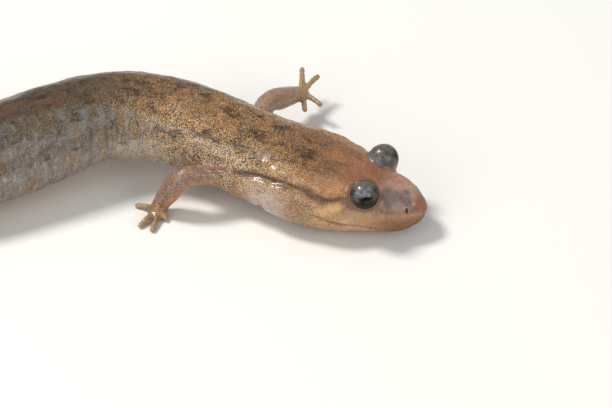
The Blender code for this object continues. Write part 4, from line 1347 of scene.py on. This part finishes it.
def eyeMaterial():
    bench = nodeBench("wetEye", eyeFinish)
    mixed, between, times, plus, maths = bench.mix, bench.between, bench.times, bench.plus, bench.maths
    gaze = bench.attribute("gaze", "Vector")
    across, up, _ = bench.three("gaze")
    radius = maths("SQRT", plus(times(across, across), times(up, up)))
    cloud = bench.noise(gaze, 2.8, 4, 0.65)
    net = plus(bench.noise(gaze, 3.6, 3, 0.65, 3), -0.5)

    # a fine net of gold round a black pupil that lies across the eye
    halfWide, halfHigh = eyeForm["pupil"]
    level = maths("SUBTRACT", up, times(across, eyeFinish["pupilTilt"]))
    wide, tall = (maths("POWER", maths("DIVIDE", *way), 2) for way in ((across, halfWide), (level, halfHigh)))
    pupil = plus(maths("SQRT", plus(wide, tall)), times(net, 0.9))
    thread = between(maths("ABSOLUTE", net), eyeFinish["goldLines"], 0.006)
    ring = times(between(pupil, 0.9, 1.2), between(pupil, 3.2, 1.7))
    ring = times(times(ring, between(up, -0.42, -0.28)), between(across, 0.55, 0.15, 0.25, 1))

    behind = between(plus(times(up, 0.9), across), -0.75, -1.15)
    colour = bench.layered(
        # olive-black below and slate above, with a painted reflection of the sky near the top, greener ahead
        mixed(between(up, -0.30, 0.40), "low", "top"),
        ("skyReflection", times(between(up, 0.15, 0.6), between(cloud, 0.44, 0.60))),
        ("olive", times(times(between(across, 0.3, 0.9), between(up, -0.5, 0.2)), 0.8)),
        ("gold", times(ring, thread)),
        ("pupil", between(pupil, 1.10, 0.92)),
        # painted shade: a dark edge all round where the lids shade the ball, browner at the top; and a blue
        # crescent at the back
        (mixed(between(up, 0.5, 0.95), "edge", "edgeShadeTop"), times(between(radius, 0.88, 1.14), 0.85)),
        ("rim", times(times(between(radius, 0.98, 1.08), between(radius, 1.20, 1.12)), behind)),
    )
    return bench.finished({
        "Base Color": colour, "Roughness": 0.5, "Specular IOR Level": 0.0,
        "Coat Weight": 1.0, "Coat Roughness": 0.015, "Coat IOR": 1.28,
    })


# Settling pieces into the frame

def frameShift():
    # from the model's millimetres to the frame: both have the right eye's middle
    centre = np.array(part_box("eye_right")).mean(axis=0)
    return centre - bend(eyeCentre(-1)) * millimetre


shift = frameShift()
print("shift of the model into the frame, mm:", np.round(shift / millimetre, 3))


def settle(item, points, material):
    setPoints(item, np.clip(points * millimetre + shift, *np.array(cadBox)))
    item.data.materials.clear()
    item.data.materials.append(material)
    item.data.shade_smooth()
    return item


def makeSkin():
    finish = skinMaterial()
    body = bodySkin()
    print("body:", len(body.data.polygons), "faces")
    tree = tubeTree()
    limbs = [limbSkin(limb, tree, finish) for limb in limbForm["limbs"]]
    print("limbs:", [len(limb.data.polygons) for limb in limbs])
    whole = joined(body, "UNION", limbs)
    whole = joined(whole, "DIFFERENCE", openings())
    points = finishSkin(whole)
    mapCoat(whole, points)
    whole.name = "salamander_skin"
    settle(whole, points, finish)
    whole.data.validate()
    print("skin:", len(whole.data.polygons), "faces")
    return whole


def makeEye(sign, name, finish):
    # a ball whose rings run round the pupil, with a slight bulge of the cornea
    centre = bend(eyeCentre(sign))
    ahead, out, up = eyeForm["gaze"]
    look = unit(bendVector(eyeForm["along"], (ahead, sign * out, up)))
    across = unit(np.cross(look, (0, 0, 1))) * sign
    upright = unit(np.cross(across, look))
    upright = upright if upright[2] > 0 else -upright
    pointsRound, pointsBack = eyeForm["points"]
    turns = np.linspace(0, 2 * math.pi, pointsRound, endpoint=False)[:, None]
    outward = np.cos(turns) * across + np.sin(turns) * upright
    rings = []
    for tilt in np.linspace(0, math.pi, pointsBack)[1:-1]:
        reach = eyeForm["radius"] + eyeForm["cornea"] * bell(tilt, eyeForm["corneaWidth"])
        rings.append(centre + reach * (math.cos(tilt) * look + math.sin(tilt) * outward))
    front = centre + look * (eyeForm["radius"] + eyeForm["cornea"])
    item = loft(name, rings, [front, centre - look * eyeForm["radius"]])
    points = pointsOf(item)
    setAttribute(item, "gaze", *((points - centre) @ way for way in (across, upright, look)))
    return settle(item, points, finish)


skin = makeSkin()
eyePaint = eyeMaterial()
eyes = [makeEye(1, "left_eyeball", eyePaint), makeEye(-1, "right_eyeball", eyePaint)]
print("eyes made")

for piece, slotName in [(skin, "skin")] + [(eye, "eye") for eye in eyes]:
    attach(piece, "root")
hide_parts(*[name for name in sorted(frame["nodes"]) if not name.startswith("eye")])
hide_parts("eye_left")
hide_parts("eye_right")


# The floor, the light and the camera

stageForm = {
    "floor": (222, 220, 214), "floorSize": 3.0,
    "world": (0.90, 0.94, 1.0), "worldStrength": 0.46,
    # lamp: place in metres from the head, size, power in watts and colour
    "lamps": (
        ((-0.24, 0.07, 0.38), 0.12, 1.8, (1.0, 0.99, 0.97)),
        ((0.30, -0.32, 0.20), 0.34, 0.9, (1.0, 0.96, 0.92)),
        ((-0.30, -0.36, 0.22), 0.40, 0.9, (0.94, 0.97, 1.0)),
    ),
}
viewForm = {
    "elevation": 37.0,
    "distance": 300.0, "lens": 211.8, "sensor": 36.0,
    "aim": (4.67, -2.42, 4.65),  # a place in the right eye, and where the frame's centre lies from it
    "right": -4.917, "up": -0.817,
}


def makeStage():
    half = stageForm["floorSize"] / 2
    mesh = bpy.data.meshes.new("floor")
    corners = [(-half, -half, 0), (half, -half, 0), (half, half, 0), (-half, half, 0)]
    mesh.from_pydata(corners, [], [(0, 1, 2, 3)])
    bench = nodeBench("paleFloor", {"floor": stageForm["floor"]})
    mesh.materials.append(bench.finished({"Base Color": "floor", "Roughness": 0.9}))
    floor = linked("floor", mesh)
    world = bpy.data.worlds.new("softSky")
    world.use_nodes = True
    sky = world.node_tree.nodes["Background"]
    sky.inputs["Color"].default_value = (*stageForm["world"], 1.0)
    sky.inputs["Strength"].default_value = stageForm["worldStrength"]
    bpy.context.scene.world = world
    head = Vector(shift + bend(eyeCentre(-1)) * millimetre)
    for k, (place, size, power, tint) in enumerate(stageForm["lamps"]):
        lamp = bpy.data.lights.new(f"softbox{k}", "AREA")
        lamp.shape, lamp.size, lamp.energy, lamp.color = "DISK", size, power, tint
        item = linked(f"softbox{k}", lamp)
        item.location = head + Vector(place)
        item.rotation_euler = Vector(place).to_track_quat("Z", "Y").to_euler()


def makeCamera():
    tilt = math.radians(viewForm["elevation"])
    up = np.array([0.0, math.sin(tilt), math.cos(tilt)])
    back = np.array([0.0, -math.cos(tilt), math.sin(tilt)])
    aim = shift / millimetre * (1, 1, 0) + bend(viewForm["aim"])
    place = aim + (viewForm["right"], 0, 0) + viewForm["up"] * up + viewForm["distance"] * back
    camera = bpy.data.cameras.new("camera")
    camera.lens, camera.sensor_width = viewForm["lens"], viewForm["sensor"]
    camera.clip_start, camera.clip_end = 0.01, 10.0
    item = linked("camera", camera)
    item.location = place * millimetre
    item.rotation_euler = Vector(back).to_track_quat("Z", "Y").to_euler()
    bpy.context.scene.camera = item


makeStage()
makeCamera()
bpy.context.scene.view_settings.view_transform = "Standard"
print("stage, light and camera set")
